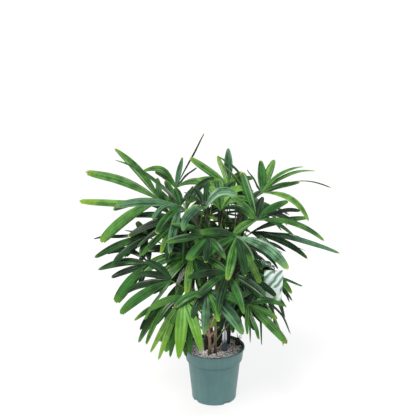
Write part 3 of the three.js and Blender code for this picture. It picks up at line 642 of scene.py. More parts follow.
def read_frond(name):
    """A frond's leaflets and the curve of its stalk, read off its CAD node. A leaflet ends in a tip with
    three neighbours, and behind that lie its two rings."""
    places, linked = joined_corners(name)
    leaflets = []
    others = set(range(len(places)))
    for tip, far_ring in enumerate(linked):
        if len(far_ring) != 3 or any(not far_ring - {corner} <= linked[corner] for corner in far_ring):
            continue
        near_ring = set().union(*(linked[corner] for corner in far_ring)) - far_ring - {tip}
        if len(near_ring) != 3:
            continue
        near, near_face, _ = read_ring(places, near_ring)
        far, far_face, width = read_ring(places, far_ring)
        hub, knee = curve_through(near, far, places[tip])
        leaflets.append({"hub": hub, "knee": knee, "tip": places[tip], "near_face": near_face,
                         "far_face": far_face, "half_width": width / 2})
        others -= {tip} | far_ring | near_ring
    hub = leaflets[0]["hub"]
    outward = unit(sum(unit(leaflet["knee"] - hub) for leaflet in leaflets))
    to_side = unit(np.cross(outward, sum(leaflet["near_face"] for leaflet in leaflets)))
    for leaflet in leaflets:
        heading = leaflet["knee"] - hub
        leaflet["angle"] = math.atan2(heading @ to_side, heading @ outward)
    leaflets.sort(key=lambda leaflet: leaflet["angle"])
    distance = {corner: np.linalg.norm(places[corner] - hub) for corner in others}
    outer = sorted((corner for corner in others if distance[corner] > HUB_REACH * MM), key=distance.get)
    upper, lower = (
        np.mean([places[corner] for corner in outer[i:i + STALK_RING_CORNERS]], axis=0)
        for i in (0, STALK_RING_CORNERS))
    end = hub + STALK_PAST_HUB * MM * outward
    # The lower ring lies a third of the way along the stalk's curve, and the upper one two thirds.
    start = end + 3 * (lower - upper)
    knee = (lower - 4 / 9 * start - 1 / 9 * end) * 9 / 4
    return {"leaflets": leaflets, "stalk": (start, knee, end)}


fronds = [read_frond(name) for name in FROND_NAMES]

# Leaf stalk: smooth, waxy, mid green, a little paler than the leaflets.
stalk_green = patchy_material("green_leaf_stalk", 14, 3.0, "35501f", "5d7f38", 0.45)


def sized(table, shares):
    """Sizes in metres at each share of the way, from a short table in millimetres."""
    return list(np.interp(shares, [share for share, _ in table], [size * MM for _, size in table]))


stalk_shares = np.linspace(0, 1, STALK_STEPS)
stalk_lines = [(bend(*frond["stalk"], stalk_shares), sized(STALK_SIZES, stalk_shares)) for frond in fronds]
smooth_tree = tube_tree("smooth_stalk")
unringed = {"Ring Spacing": 1.0, "Ring Rise": 0.0}
grow("leaf_stalks", smooth_tree, {**unringed, "Sides": 8, "Step": 9 * MM, "Material": stalk_green},
     lines_mesh("leaf_stalks", stalk_lines))


def nearest_cane(frond):
    """The number of the cane that a frond's stalk starts from."""
    start = frond["stalk"][0]
    gaps = [min(np.linalg.norm(point - start) for point in line) for line in cane_lines]
    return gaps.index(min(gaps))


def sheath_line(frond, thickness=1.0):
    """A sheath climbs the cane to the foot of its stalk and then follows the stalk."""
    start, knee, end = frond["stalk"]
    length = np.linalg.norm(end - start)
    above = bend(start, knee, end, np.linspace(0, min(1, SHEATH_ABOVE * MM / length), SHEATH_ABOVE_STEPS))
    cane = cane_lines[nearest_cane(frond)]
    nearest = min(range(len(cane)), key=lambda i: np.linalg.norm(cane[i] - start))
    upward = unit(cane[min(nearest + 1, len(cane) - 1)] - cane[max(nearest - 1, 0)])
    foot = max(cane[0][2], start[2] - SHEATH_BELOW * MM)
    below = [start - upward * (start[2] - foot) * share for share in SHEATH_BELOW_SHARES]
    line = below + above
    return line, [thickness * size for size in sized(SHEATH_SIZES, np.linspace(0, 1, len(line)))]


cane_lines = [cane_line(name)[0] for name in YOUNG_CANES + OLD_CANES]
sheath_sizes = {**unringed, "Sides": 9, "Step": 6 * MM}
old_sheath_lines = [sheath_line(frond) for frond in fronds if nearest_cane(frond) >= len(YOUNG_CANES)]
young_sheath_lines = [
    sheath_line(frond, YOUNG_SHARE) for frond in fronds if nearest_cane(frond) < len(YOUNG_CANES)]
net = cane_material("dry_sheath_net", dark="1f2319", pale="5d6148", foot="35190f", roughness=0.95)
skin = cane_material("fresh_smooth_sheath", dark="6a5642", pale="a58a72", foot="594836", roughness=0.7)
sheaths = grow("leaf_sheaths", smooth_tree, {**sheath_sizes, "Material": net},
               lines_mesh("leaf_sheaths", old_sheath_lines))
grow("young_sheaths", smooth_tree, {**sheath_sizes, "Material": skin},
     lines_mesh("young_sheaths", young_sheath_lines))


# ---- Rolled young leaves ----
# Leaves that haven't opened yet. They are smooth pale green rods, rolled tight, that spring from the upper
# half of the old canes and stand up in the heart of the crown.

SPEAR_SEED = 31
SPEARS_PER_CANE = 4
SPEAR_STEPS = 8
SPEAR_SIZES = [(0.0, 2.6), (0.5, 2.2), (0.9, 1.2), (1.0, 0.5)]
SPEAR_FOOT_SHARES = (0.5, 0.85)
SPEAR_LENGTHS = (110, 190)
SPEAR_TOP = 0.735
SPEAR_LEANS = (-0.28, 0.28)
SPEAR_KNEE = 0.6
SPEAR_SPREAD = np.array((1.3, 1.3, 1.0))

# Rolled leaf: smooth and waxy like the stalks, in paler green.
spear_green = patchy_material("rolled_young_leaf", 25, 3.0, "2c4a1f", "86a552", 0.45, spread=(0.4, 0.62))
chance = random.Random(SPEAR_SEED)
spear_shares = np.linspace(0, 1, SPEAR_STEPS)
spear_lines = []
for cane in cane_lines[len(YOUNG_CANES):]:
    for _ in range(SPEARS_PER_CANE):
        foot = cane[int(chance.uniform(*SPEAR_FOOT_SHARES) * (CANE_STEPS - 1))]
        length = min(chance.uniform(*SPEAR_LENGTHS) * MM, SPEAR_TOP - foot[2])
        lean = np.array((chance.uniform(*SPEAR_LEANS), chance.uniform(*SPEAR_LEANS), 1.0))
        knee = foot + lean * length * SPEAR_KNEE
        tip = foot + SPEAR_SPREAD * lean * length
        spear_lines.append((bend(foot, knee, tip, spear_shares), sized(SPEAR_SIZES, spear_shares)))
spear_sizes = {**unringed, "Sides": 6, "Step": 14 * MM}
grow("rolled_spears", smooth_tree, {**spear_sizes, "Material": spear_green},
     lines_mesh("rolled_spears", spear_lines))


# ---- Loose fibres ----
# The net of an old sheath frays into flat brown strips, a little over a millimetre wide, that stand off the
# cane and the sheath at their upper end.

FIBRE_WIDTH = 1.3
FIBRE_LENGTH = 34
FIBRE_LIFT = 8
FIBRE_LEAN = 0.4
FIBRE_SPREAD = [(0.6, 0.5, 0.2), (1.3, 1.5, 1.3)]
FIBRES_PER_M2 = 11000
FIBRE_SEED = 12

# Dry palm fibre: matt, grey brown.
fibre_brown = patchy_material("loose_sheath_fibre", 20, 2.0, "222820", "6e7358", 0.9)

tree, given, result = new_tree("loose_fibres", {
    "Width": "Float", "Length": "Float", "Lift": "Float", "Density": "Float", "Seed": "Int"})
seed = given.outputs["Seed"]
spots = add(tree, "GeometryNodeDistributePointsOnFaces", {
    "Mesh": given.outputs["Geometry"], "Density": given.outputs["Density"], "Seed": seed},
    distribute_method="RANDOM")
upward = add(tree, "FunctionNodeRandomValue", {
    0: (-FIBRE_LEAN, -FIBRE_LEAN, 1), 1: (FIBRE_LEAN, FIBRE_LEAN, 1), "Seed": seed}, data_type="FLOAT_VECTOR")
turn = add(tree, "FunctionNodeAxesToRotation", {
    "Primary Axis": spots.outputs["Normal"], "Secondary Axis": upward}, primary_axis="Z", secondary_axis="Y")
size = add(tree, "FunctionNodeRandomValue", {0: FIBRE_SPREAD[0], 1: FIBRE_SPREAD[1], "Seed": seed},
           data_type="FLOAT_VECTOR")
strip = add(tree, "GeometryNodeMeshGrid", {
    "Size X": given.outputs["Width"], "Size Y": given.outputs["Length"], "Vertices X": 2, "Vertices Y": 4})
height = add(tree, "ShaderNodeSeparateXYZ", {"Vector": add(tree, "GeometryNodeInputPosition")}).outputs["Y"]
share = add(tree, "ShaderNodeMath", {0: height, 1: given.outputs["Length"]}, operation="DIVIDE")
raised = add(tree, "ShaderNodeMath", {0: share, 1: 0.5}, operation="ADD")
squared = add(tree, "ShaderNodeMath", {0: raised, 1: 2.0}, operation="POWER")
off = add(tree, "ShaderNodeMath", {0: squared, 1: given.outputs["Lift"]}, operation="MULTIPLY")
curled = add(tree, "GeometryNodeSetPosition", {
    "Geometry": strip, "Offset": add(tree, "ShaderNodeCombineXYZ", {"Z": off})})
stuck = add(tree, "GeometryNodeInstanceOnPoints", {
    "Points": spots, "Instance": curled, "Rotation": turn, "Scale": size})
real = add(tree, "GeometryNodeRealizeInstances", {"Geometry": stuck})
dressed = add(tree, "GeometryNodeSetMaterial", {"Geometry": real, "Material": fibre_brown})
tree.links.new(dressed.outputs[0], result.inputs[0])
fibre_sizes = {"Width": FIBRE_WIDTH * MM, "Length": FIBRE_LENGTH * MM, "Lift": FIBRE_LIFT * MM,
               "Density": float(FIBRES_PER_M2), "Seed": FIBRE_SEED}
for name, bearer in (("cane_fibres", old_canes), ("sheath_fibres", sheaths)):
    grow(name, tree, fibre_sizes, bearer.data.copy())


# ---- Leaflets ----
# Each fan is of separate strap-shaped leaflets, pleated lengthwise, that spring from the end of the stalk,
# arch and droop. Their ends are blunt and ragged, and some have dried yellow or brown.

LEAFLET_SIZES = {
    "Points Across": 7, "Points Along": 13, "Crowding": 1.45, "Pleats": 3.0, "Pleat Height": 0.2,
    "Tooth": 0.02, "Rounding": 0.03}
STRAP_OUTLINE = [
    (0, 0.14), (0.1, 0.36), (0.28, 0.74), (0.48, 0.97), (0.68, 1.0), (0.84, 0.92), (0.94, 0.74), (1, 0.48)]
LANCE_OUTLINE = [
    (0, 0.14), (0.12, 0.44), (0.28, 0.86), (0.42, 1.0), (0.62, 0.94), (0.8, 0.68), (0.92, 0.4), (1, 0.14)]
LEAFLET_SHARP_DEGREES = 14
LEAFLET_SEED = 500
TWIST_REACH = 3.0
RIPPLE_RADIANS = 9.0
CUT_END_SHARPNESS = 12.0
OWN_WIDTHS = (0.97, 1.06)
TIP_KINDS = {"sound": 0, "yellow": 1, "brown": 2}
TIP_WEIGHTS = (60, 22, 18)

# The mottle of a leaf in millimetres, and how often its veins and streaks change across and along it.
LEAF_MOTTLE = 35
LEAF_VEINS = (30, 1.5, 1)
LEAF_STREAKS = (5.5, 0.5, 1)
LEAF_ROUGHNESS = {"green": 0.36, "ripe": 0.38, "dry": 0.65}
RIPE_SHADE = 0.8

# A leaflet that is narrow in the frame is an ordinary one turned on edge, apart from the rolled new spear.
ROLLED_WIDTH = 8
EDGE_ON_WIDTH = 19
USUAL_WIDTH = 23

# The greens that occur: in the shade of the blade, in its light, and at its ripe end. The palest grey green
# paints the sheen on glossy leaflets, and the bluish green paints the pale bluish sheen on waxy ones.
GREENS = {
    "dark": ("091c09", "234b25", "2f5c20"), "deep": ("122f0f", "38702f", "4d7f2c"),
    "mid": ("1f4a18", "598f40", "739a36"), "fresh": ("33602a", "76a54d", "86aa32"),
    "blue": ("1b3c26", "57835d", "5f8c4a"), "lime": ("427a30", "80b062", "689626"),
    "silver": ("254c31", "7fae86", "6f9c5c"),
}
GREEN_NAMES = list(GREENS)
DRY_COLOURS = {"yellow": ("8d8a42", "bfba6e"), "brown": ("5f4d30", "8c7848")}

# The steps in which a leaflet ripens: how many times its ripe share a step reaches back from the tip, and how
# ripe it is there.
RIPENING = {"turning": (3.0, 0.15), "paling": (2.3, 0.4), "ripening": (1.6, 0.65), "ripe": (1.0, 0.9)}

# The greens of each fan that shows from the front, frond_01 first, dealt out round it in turn. Names past the
# last leaflet go to the narrower ones between them. They were matched to how light or dark each leaflet
# looks, so besides the leaflets' own tones they paint part of the light and shade on the crown. All other
# fans share one set, in a mixed order.
SHOWN_GREENS = [
    "blue deep blue blue deep deep dark", "mid fresh fresh mid mid deep", "mid mid deep blue dark dark mid",
    "mid mid fresh blue fresh deep", "mid fresh mid deep fresh mid deep",
    "blue mid dark dark dark silver blue", "dark deep fresh mid mid deep mid fresh",
    "mid mid deep dark deep dark mid", "mid deep dark blue dark dark deep", "silver deep dark mid deep deep",
    "mid deep dark deep deep deep", "dark deep dark deep dark dark", "dark dark deep dark dark fresh",
    "deep deep dark dark dark", "mid lime lime mid mid deep dark dark dark dark dark",
    "deep deep mid deep dark mid", "deep blue mid blue dark deep", "deep mid mid deep mid deep",
    "deep mid deep dark deep dark", "dark deep dark deep dark deep",
]
HIDDEN_GREENS = "dark deep mid dark dark deep fresh"

# How the fronds differ: the most that a leaflet twists, in degrees, its width beside the one in the frame,
# whether narrower leaflets stand between them, the most of a leaflet that is ripe, whether all tips are
# sound, and how lance-shaped the leaflets are.
USUAL_LOOK = {"twist": 12, "width": 1.0, "between": False, "ripe": 0.1, "sound": False, "lance": (0.0, 0.9)}
HIDDEN_LOOK = {**USUAL_LOOK, "twist": 35, "width": 0.95, "between": True}
OWN_LOOKS = {
    15: {**USUAL_LOOK, "twist": 6, "between": True, "ripe": 0.32, "sound": True, "lance": (0.6, 1.0)},
    17: {**USUAL_LOOK, "twist": 6},
}


def mixed(one, other, share):
    """A colour part of the way from one to the other."""
    return [a + (b - a) * share for a, b in zip(one, other)]


def leaf_material(name, dark, pale, roughness):
    """Palm leaflet: leathery and waxy, with broad lengthwise streaks along its folds that paint light and
    shade on its pleats in its lit and its shaded tone, fine veins about 1 mm apart, and a soft mottle."""
    material, tree, output = new_material(name)
    place = add(tree, "ShaderNodeTexCoord")
    mottle = add(tree, "ShaderNodeTexNoise", {
        "Vector": place.outputs["Object"], "Scale": 1 / (LEAF_MOTTLE * MM), "Detail": 2.0})
    across = add(tree, "ShaderNodeMapping", {"Vector": place.outputs["UV"], "Scale": LEAF_VEINS})
    veins = add(tree, "ShaderNodeTexNoise", {"Vector": across, "Scale": 1.0, "Detail": 2.0})
    broadly = add(tree, "ShaderNodeVectorMath", {0: place.outputs["UV"], 1: LEAF_STREAKS},
                  operation="MULTIPLY")
    own = add(tree, "ShaderNodeAttribute", attribute_name="phase")
    apart = add(tree, "ShaderNodeCombineXYZ", {"Z": own.outputs["Fac"]})
    broadly = add(tree, "ShaderNodeVectorMath", {0: broadly, 1: apart}, operation="ADD")
    # Broad streaks that paint light and shade along the pleats.
    streaks = add(tree, "ShaderNodeTexNoise", {"Vector": broadly, "Scale": 1.0, "Detail": 1.0})
    pattern = add(tree, "ShaderNodeMix", {
        "Factor": 0.6, "A": mottle.outputs["Fac"], "B": streaks.outputs["Fac"]}, data_type="FLOAT")
    pattern = add(tree, "ShaderNodeMix", {"Factor": 0.25, "A": pattern, "B": veins.outputs["Fac"]},
                  data_type="FLOAT")
    shades = add(tree, "ShaderNodeValToRGB", {"Fac": pattern})
    shade(shades, [(0.43, dark), (0.57, pale)])
    relief = add(tree, "ShaderNodeBump", {
        "Height": veins.outputs["Fac"], "Strength": 0.4, "Distance": 0.4 * MM})
    blade = add(tree, "ShaderNodeBsdfPrincipled", {
        "Base Color": shades, "Normal": relief, "Roughness": roughness, "IOR": 1.4})
    tree.links.new(blade.outputs[0], output.inputs[0])
    return material


tree, given, result = new_tree("strap_leaflets", {
    "Points Across": "Int", "Points Along": "Int", "Crowding": "Float", "Pleats": "Float",
    "Pleat Height": "Float", "Tooth": "Float", "Rounding": "Float"})
grid = add(tree, "GeometryNodeMeshGrid", {
    "Size X": 2.0, "Size Y": 1.0, "Vertices X": given.outputs["Points Across"],
    "Vertices Y": given.outputs["Points Along"]})
stationed = add(tree, "GeometryNodeStoreNamedAttribute", {
    "Geometry": grid, "Name": "station", "Value": add(tree, "GeometryNodeInputPosition")},
    data_type="FLOAT_VECTOR", domain="POINT")
mapped = add(tree, "GeometryNodeStoreNamedAttribute", {
    "Geometry": stationed, "Name": "UVMap", "Value": grid.outputs["UV Map"]},
    data_type="FLOAT2", domain="CORNER")
planted = add(tree, "GeometryNodeInstanceOnPoints", {"Points": given.outputs["Geometry"], "Instance": mapped})
real = add(tree, "GeometryNodeRealizeInstances", {"Geometry": planted})
of_leaflet = {}
for kind, titles in {
        "FLOAT_VECTOR": ("station", "hub", "knee", "tip", "near_face", "far_face"),
        "FLOAT": ("half_width", "fold", "bow", "wave", "phase", "twist", "lance", "pull", "ripe_share",
                  "dry_share"),
        "INT": ("green", "tip_kind")}.items():
    for title in titles:
        of_leaflet[title] = add(tree, "GeometryNodeInputNamedAttribute", {"Name": title}, data_type=kind)

# Where a point lies on its leaflet: across from -1 to 1, and along from 0 at the hub to 1 at the tip, where
# the rows crowd together. The end is cut back to a rounded row of teeth, one for each pleat.
station = add(tree, "ShaderNodeSeparateXYZ", {"Vector": of_leaflet["station"]})
across = station.outputs["X"]
from_tip = add(tree, "ShaderNodeMath", {0: 0.5, 1: station.outputs["Y"]}, operation="SUBTRACT")
crowded = add(tree, "ShaderNodeMath", {0: from_tip, 1: given.outputs["Crowding"]}, operation="POWER")
even = add(tree, "ShaderNodeMath", {0: 1.0, 1: crowded}, operation="SUBTRACT")
from_edge = add(tree, "ShaderNodeMath", {0: across, 1: 1.0}, operation="ADD")
folds = add(tree, "ShaderNodeMath", {0: from_edge, 1: given.outputs["Pleats"]}, operation="MULTIPLY")
zigzag = add(tree, "ShaderNodeMath", {0: folds, 1: 1.0}, operation="PINGPONG")
across_squared = add(tree, "ShaderNodeMath", {0: across, 1: across}, operation="MULTIPLY")
rounded = add(tree, "ShaderNodeMath", {0: across_squared, 1: given.outputs["Rounding"]}, operation="MULTIPLY")
toothed = add(tree, "ShaderNodeMath", {0: zigzag, 1: given.outputs["Tooth"], 2: rounded},
              operation="MULTIPLY_ADD")
at_end = add(tree, "ShaderNodeMath", {0: even, 1: CUT_END_SHARPNESS}, operation="POWER")
cut_back = add(tree, "ShaderNodeMath", {0: toothed, 1: at_end}, operation="MULTIPLY")
along = add(tree, "ShaderNodeMath", {0: even, 1: cut_back}, operation="SUBTRACT")

# The middle line bends round the knee, more sharply the harder the knee pulls on it.
rest = add(tree, "ShaderNodeMath", {0: 1.0, 1: along}, operation="SUBTRACT")
hub_weight = add(tree, "ShaderNodeMath", {0: rest, 1: rest}, operation="MULTIPLY")
tip_weight = add(tree, "ShaderNodeMath", {0: along, 1: along}, operation="MULTIPLY")
crossed = add(tree, "ShaderNodeMath", {0: rest, 1: along}, operation="MULTIPLY")
doubled = add(tree, "ShaderNodeMath", {0: crossed, 1: 2.0}, operation="MULTIPLY")
knee_weight = add(tree, "ShaderNodeMath", {0: doubled, 1: of_leaflet["pull"]}, operation="MULTIPLY")
ends_weight = add(tree, "ShaderNodeMath", {0: hub_weight, 1: tip_weight}, operation="ADD")
whole_weight = add(tree, "ShaderNodeMath", {0: ends_weight, 1: knee_weight}, operation="ADD")
middle = add(tree, "ShaderNodeVectorMath", {0: of_leaflet["hub"], 3: hub_weight}, operation="SCALE")
for title, weight in (("knee", knee_weight), ("tip", tip_weight)):
    part = add(tree, "ShaderNodeVectorMath", {0: of_leaflet[title], 3: weight}, operation="SCALE")
    middle = add(tree, "ShaderNodeVectorMath", {0: middle, 1: part}, operation="ADD")
portion = add(tree, "ShaderNodeMath", {0: 1.0, 1: whole_weight}, operation="DIVIDE")
middle = add(tree, "ShaderNodeVectorMath", {0: middle, 3: portion}, operation="SCALE")
heading = None
for start, end, weight, pulled in (
        ("hub", "knee", hub_weight, True), ("hub", "tip", crossed, False), ("knee", "tip", tip_weight, True)):
    step = add(tree, "ShaderNodeVectorMath", {0: of_leaflet[end], 1: of_leaflet[start]}, operation="SUBTRACT")
    if pulled:
        weight = add(tree, "ShaderNodeMath", {0: weight, 1: of_leaflet["pull"]}, operation="MULTIPLY")
    step = add(tree, "ShaderNodeVectorMath", {0: step, 3: weight}, operation="SCALE")
    heading = add(tree, "ShaderNodeVectorMath", {0: heading, 1: step}, operation="ADD") if heading else step
heading = add(tree, "ShaderNodeVectorMath", {0: heading}, operation="NORMALIZE")

# The way the upper side faces, square to the middle line and twisted about it.
turned = add(tree, "ShaderNodeMapRange", {"Value": along, "From Min": NEAR_STATION, "From Max": FAR_STATION},
             clamp=False)
face = add(tree, "ShaderNodeMix", {
    "Factor": turned, "A": of_leaflet["near_face"], "B": of_leaflet["far_face"]},
    data_type="VECTOR", clamp_factor=False)
lean = add(tree, "ShaderNodeVectorMath", {0: face, 1: heading}, operation="DOT_PRODUCT")
leaning = add(tree, "ShaderNodeVectorMath", {0: heading, 3: lean.outputs["Value"]}, operation="SCALE")
face = add(tree, "ShaderNodeVectorMath", {0: face, 1: leaning}, operation="SUBTRACT")
face = add(tree, "ShaderNodeVectorMath", {0: face}, operation="NORMALIZE")
twisting = add(tree, "ShaderNodeMath", {0: along, 1: TWIST_REACH}, operation="MULTIPLY")
twisting = add(tree, "ShaderNodeMath", {0: twisting, 1: 1.0}, operation="MINIMUM")
twist = add(tree, "ShaderNodeMath", {0: twisting, 1: of_leaflet["twist"]}, operation="MULTIPLY")
face = add(tree, "ShaderNodeVectorRotate", {"Vector": face, "Axis": heading, "Angle": twist})
sideways = add(tree, "ShaderNodeVectorMath", {0: heading, 1: face}, operation="CROSS_PRODUCT")

# How far a point stands to the side of the middle line and above it.
widths = []
for outline in (STRAP_OUTLINE, LANCE_OUTLINE):
    drawn = add(tree, "ShaderNodeFloatCurve", {"Value": along})
    curve = drawn.mapping.curves[0]
    for end, (x, y) in enumerate((outline[0], outline[-1])):
        curve.points[end].location = (x, y)
    for x, y in outline[1:-1]:
        curve.points.new(x, y)
    drawn.mapping.update()
    widths.append(drawn)
breadth = add(tree, "ShaderNodeMix", {"Factor": of_leaflet["lance"], "A": widths[0], "B": widths[1]},
              data_type="FLOAT")
reach = add(tree, "ShaderNodeMath", {0: breadth, 1: of_leaflet["half_width"]}, operation="MULTIPLY")
bowed = add(tree, "ShaderNodeMath", {0: of_leaflet["bow"], 1: doubled}, operation="MULTIPLY")
side = add(tree, "ShaderNodeMath", {0: across, 1: reach, 2: bowed}, operation="MULTIPLY_ADD")
pleat = add(tree, "ShaderNodeMath", {0: zigzag, 1: 0.5}, operation="SUBTRACT")
pleat = add(tree, "ShaderNodeMath", {0: pleat, 1: given.outputs["Pleat Height"]}, operation="MULTIPLY")
span = add(tree, "ShaderNodeMath", {0: across}, operation="ABSOLUTE")
folded = add(tree, "ShaderNodeMath", {0: span, 1: of_leaflet["fold"], 2: pleat}, operation="MULTIPLY_ADD")
ripple = add(tree, "ShaderNodeMath", {0: along, 1: RIPPLE_RADIANS, 2: of_leaflet["phase"]},
             operation="MULTIPLY_ADD")
ripple = add(tree, "ShaderNodeMath", {0: ripple}, operation="SINE")
ripple = add(tree, "ShaderNodeMath", {0: ripple, 1: of_leaflet["wave"]}, operation="MULTIPLY")
ripple = add(tree, "ShaderNodeMath", {0: ripple, 1: along}, operation="MULTIPLY")
above = add(tree, "ShaderNodeMath", {0: folded, 1: reach, 2: ripple}, operation="MULTIPLY_ADD")
to_side = add(tree, "ShaderNodeVectorMath", {0: sideways, 3: side}, operation="SCALE")
upwards = add(tree, "ShaderNodeVectorMath", {0: face, 3: above}, operation="SCALE")
spot = add(tree, "ShaderNodeVectorMath", {0: middle, 1: to_side}, operation="ADD")
spot = add(tree, "ShaderNodeVectorMath", {0: spot, 1: upwards}, operation="ADD")
grown = add(tree, "GeometryNodeSetPosition", {"Geometry": real, "Position": spot})

# Each leaflet has one green, which turns in steps to its ripe tone over the end, and in some a dry colour
# at the very tip.
zones = {}
steps_back = [(title, "ripe_share", reach) for title, (reach, _) in RIPENING.items()]
for title, share, reach in [*steps_back, ("dry", "dry_share", 1.0)]:
    far = add(tree, "ShaderNodeMath", {0: of_leaflet[share], 1: reach}, operation="MULTIPLY")
    first = add(tree, "ShaderNodeMath", {0: 1.0, 1: far}, operation="SUBTRACT")
    zones[title] = add(tree, "FunctionNodeCompare", {0: along, 1: first}, data_type="FLOAT",
                       operation="GREATER_THAN")
for number, (name, codes) in enumerate(GREENS.items()):
    dark, pale, ripe = (colour(code) for code in codes)
    of_green = add(tree, "FunctionNodeCompare", {2: of_leaflet["green"], 3: number}, data_type="INT",
                   operation="EQUAL")
    blade = leaf_material(f"leaflet_{name}", dark, pale, LEAF_ROUGHNESS["green"])
    grown = add(tree, "GeometryNodeSetMaterial", {
        "Geometry": grown, "Selection": of_green, "Material": blade})
    for title, (_, ripeness) in RIPENING.items():
        chosen = add(tree, "FunctionNodeBooleanMath", {0: of_green, 1: zones[title]}, operation="AND")
        blade = leaf_material(f"leaflet_{name}_{title}", mixed(dark, ripe, RIPE_SHADE * ripeness),
                              mixed(pale, ripe, ripeness), LEAF_ROUGHNESS["ripe"])
        grown = add(tree, "GeometryNodeSetMaterial", {
            "Geometry": grown, "Selection": chosen, "Material": blade})
for name, (dark, pale) in DRY_COLOURS.items():
    of_kind = add(tree, "FunctionNodeCompare", {2: of_leaflet["tip_kind"], 3: TIP_KINDS[name]},
                  data_type="INT", operation="EQUAL")
    chosen = add(tree, "FunctionNodeBooleanMath", {0: of_kind, 1: zones["dry"]}, operation="AND")
    blade = leaf_material(f"dried_{name}_tip", colour(dark), colour(pale), LEAF_ROUGHNESS["dry"])
    grown = add(tree, "GeometryNodeSetMaterial", {"Geometry": grown, "Selection": chosen, "Material": blade})
tree.links.new(grown.outputs[0], result.inputs[0])


BETWEEN_DROP = 9
BETWEEN_ANGLES = (0.35, 1.2)
BETWEEN_LENGTHS = (0.72, 0.95)
BETWEEN_WIDTH = 0.8


def between(one, other, chance):
    """A narrower leaflet half way between two neighbours in a fan, a little behind them."""
    made = dict(one)
    size = chance.uniform(*BETWEEN_LENGTHS)
    for title in ("knee", "tip"):
        arms = one[title] - one["hub"], other[title] - one["hub"]
        length = (np.linalg.norm(arms[0]) + np.linalg.norm(arms[1])) / 2
        made[title] = one["hub"] + size * length * unit(arms[0] + arms[1])
    for title in ("near_face", "far_face"):
        made[title] = unit(one[title] + other[title])
    made["knee"] = made["knee"] - BETWEEN_DROP * MM * made["near_face"]
    made["tip"] = made["tip"] - 2 * BETWEEN_DROP * MM * made["near_face"]
    made["half_width"] = BETWEEN_WIDTH * (one["half_width"] + other["half_width"]) / 2
    return made


def posture(half_width, look, chance):
    """A leaflet's own half width and its twist, from its half width in the frame."""
    width = 2 * half_width / MM
    side = chance.choice((-1, 1))
    if width < ROLLED_WIDTH:
        return half_width, 0.0
    if width < EDGE_ON_WIDTH:
        return USUAL_WIDTH / 2 * MM, side * math.acos(width / USUAL_WIDTH)
    own_half_width = half_width * look["width"] * chance.uniform(*OWN_WIDTHS)
    return own_half_width, math.radians(look["twist"]) * chance.uniform(-1, 1)


leaflets = []
for number, frond in enumerate(fronds, start=1):
    chance = random.Random(LEAFLET_SEED + number)
    hidden = number > len(SHOWN_GREENS)
    look = HIDDEN_LOOK if hidden else OWN_LOOKS.get(number, USUAL_LOOK)
    greens = (HIDDEN_GREENS if hidden else SHOWN_GREENS[number - 1]).split()
    fan = list(frond["leaflets"])
    if look["between"]:
        fan += [between(one, other, chance) for one, other in zip(fan, fan[1:])
                if BETWEEN_ANGLES[0] < other["angle"] - one["angle"] < BETWEEN_ANGLES[1]]
    if hidden:
        chance.shuffle(greens)
    for place, leaflet in enumerate(fan):
        half_width, twist = posture(leaflet["half_width"], look, chance)
        kind = chance.choices(list(TIP_KINDS), weights=TIP_WEIGHTS)[0]
        if look["sound"]:
            kind = "sound"
        leaflets.append({
            **leaflet, "half_width": half_width, "twist": twist, "fold": chance.uniform(-0.55, 0.2),
            "bow": chance.uniform(-5, 5) * MM, "wave": chance.uniform(0.5, 3.5) * MM,
            "phase": chance.uniform(0, 2 * math.pi), "lance": chance.uniform(*look["lance"]),
            "pull": chance.uniform(0.9, 1.2), "ripe_share": chance.uniform(0.15, 1) * look["ripe"],
            "dry_share": chance.uniform(0.015, 0.055),
            "green": GREEN_NAMES.index(greens[place % len(greens)]), "tip_kind": TIP_KINDS[kind]})

seeds = bpy.data.meshes.new("leaflets")
seeds.from_pydata([tuple(leaflet["hub"]) for leaflet in leaflets], [], [])
for title, value in leaflets[0].items():
    is_vector = isinstance(value, np.ndarray)
    kind = "FLOAT_VECTOR" if is_vector else "INT" if isinstance(value, int) else "FLOAT"
    layer = seeds.attributes.new(title, kind, "POINT")
    numbers = np.array([leaflet[title] for leaflet in leaflets]).ravel()
    layer.data.foreach_set("vector" if is_vector else "value", numbers)
blades = grow("leaflets", tree, LEAFLET_SIZES, seeds)
blades.data.set_sharp_from_angle(angle=math.radians(LEAFLET_SHARP_DEGREES))
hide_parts(*FROND_NAMES)


# ---- Tag ----
# A coated card, longer than a hand is wide, hangs in the crown by its punched hole. It has rounded corners,
# curls a little from side to side, and bears plain stripes and an empty panel.

TAG_PLACE = (196, -34, 421)
TAG_TURN_DEGREES = 8
TAG_LEAN_DEGREES = 3
TAG_HALF_WIDTH = 33
TAG_HALF_HEIGHT = 56
TAG_THICKNESS = 0.8
TAG_CORNER = 4
TAG_CURL = 2.5
TAG_COLUMNS = 14
TAG_ROWS = 16
TAG_CORNER_STEPS = 6
TAG_HOLE_RADIUS = 2.8
TAG_HOLE_HEIGHT = 48
TAG_HOLE_SIDES = 20
TAG_PUNCH_LENGTH = 12
PANEL = {"middle": (0.52, 0.3), "half_size": (23, 17), "corner": 6}
CARD_BAND_DEGREES = 38
CARD_BAND_SHAPE = (1, 1.7, 1)
CARD_GREENS = [(0.0, "4a7f68"), (0.16, "86b09c"), (0.4, "b4d3c8"), (0.7, "cbe2da"), (1.0, "ffffff")]
PANEL_WHITE = "e6f1f2"


def tag_spot(x, y, z):
    """A place on the tag, in millimetres from its middle, as a place on the plant."""
    turned = Matrix.Rotation(math.radians(TAG_TURN_DEGREES), 3, "Z") @ Matrix.Rotation(
        math.radians(TAG_LEAN_DEGREES), 3, "Y") @ Vector((x, y, z))
    return (Vector(TAG_PLACE) + turned) * MM


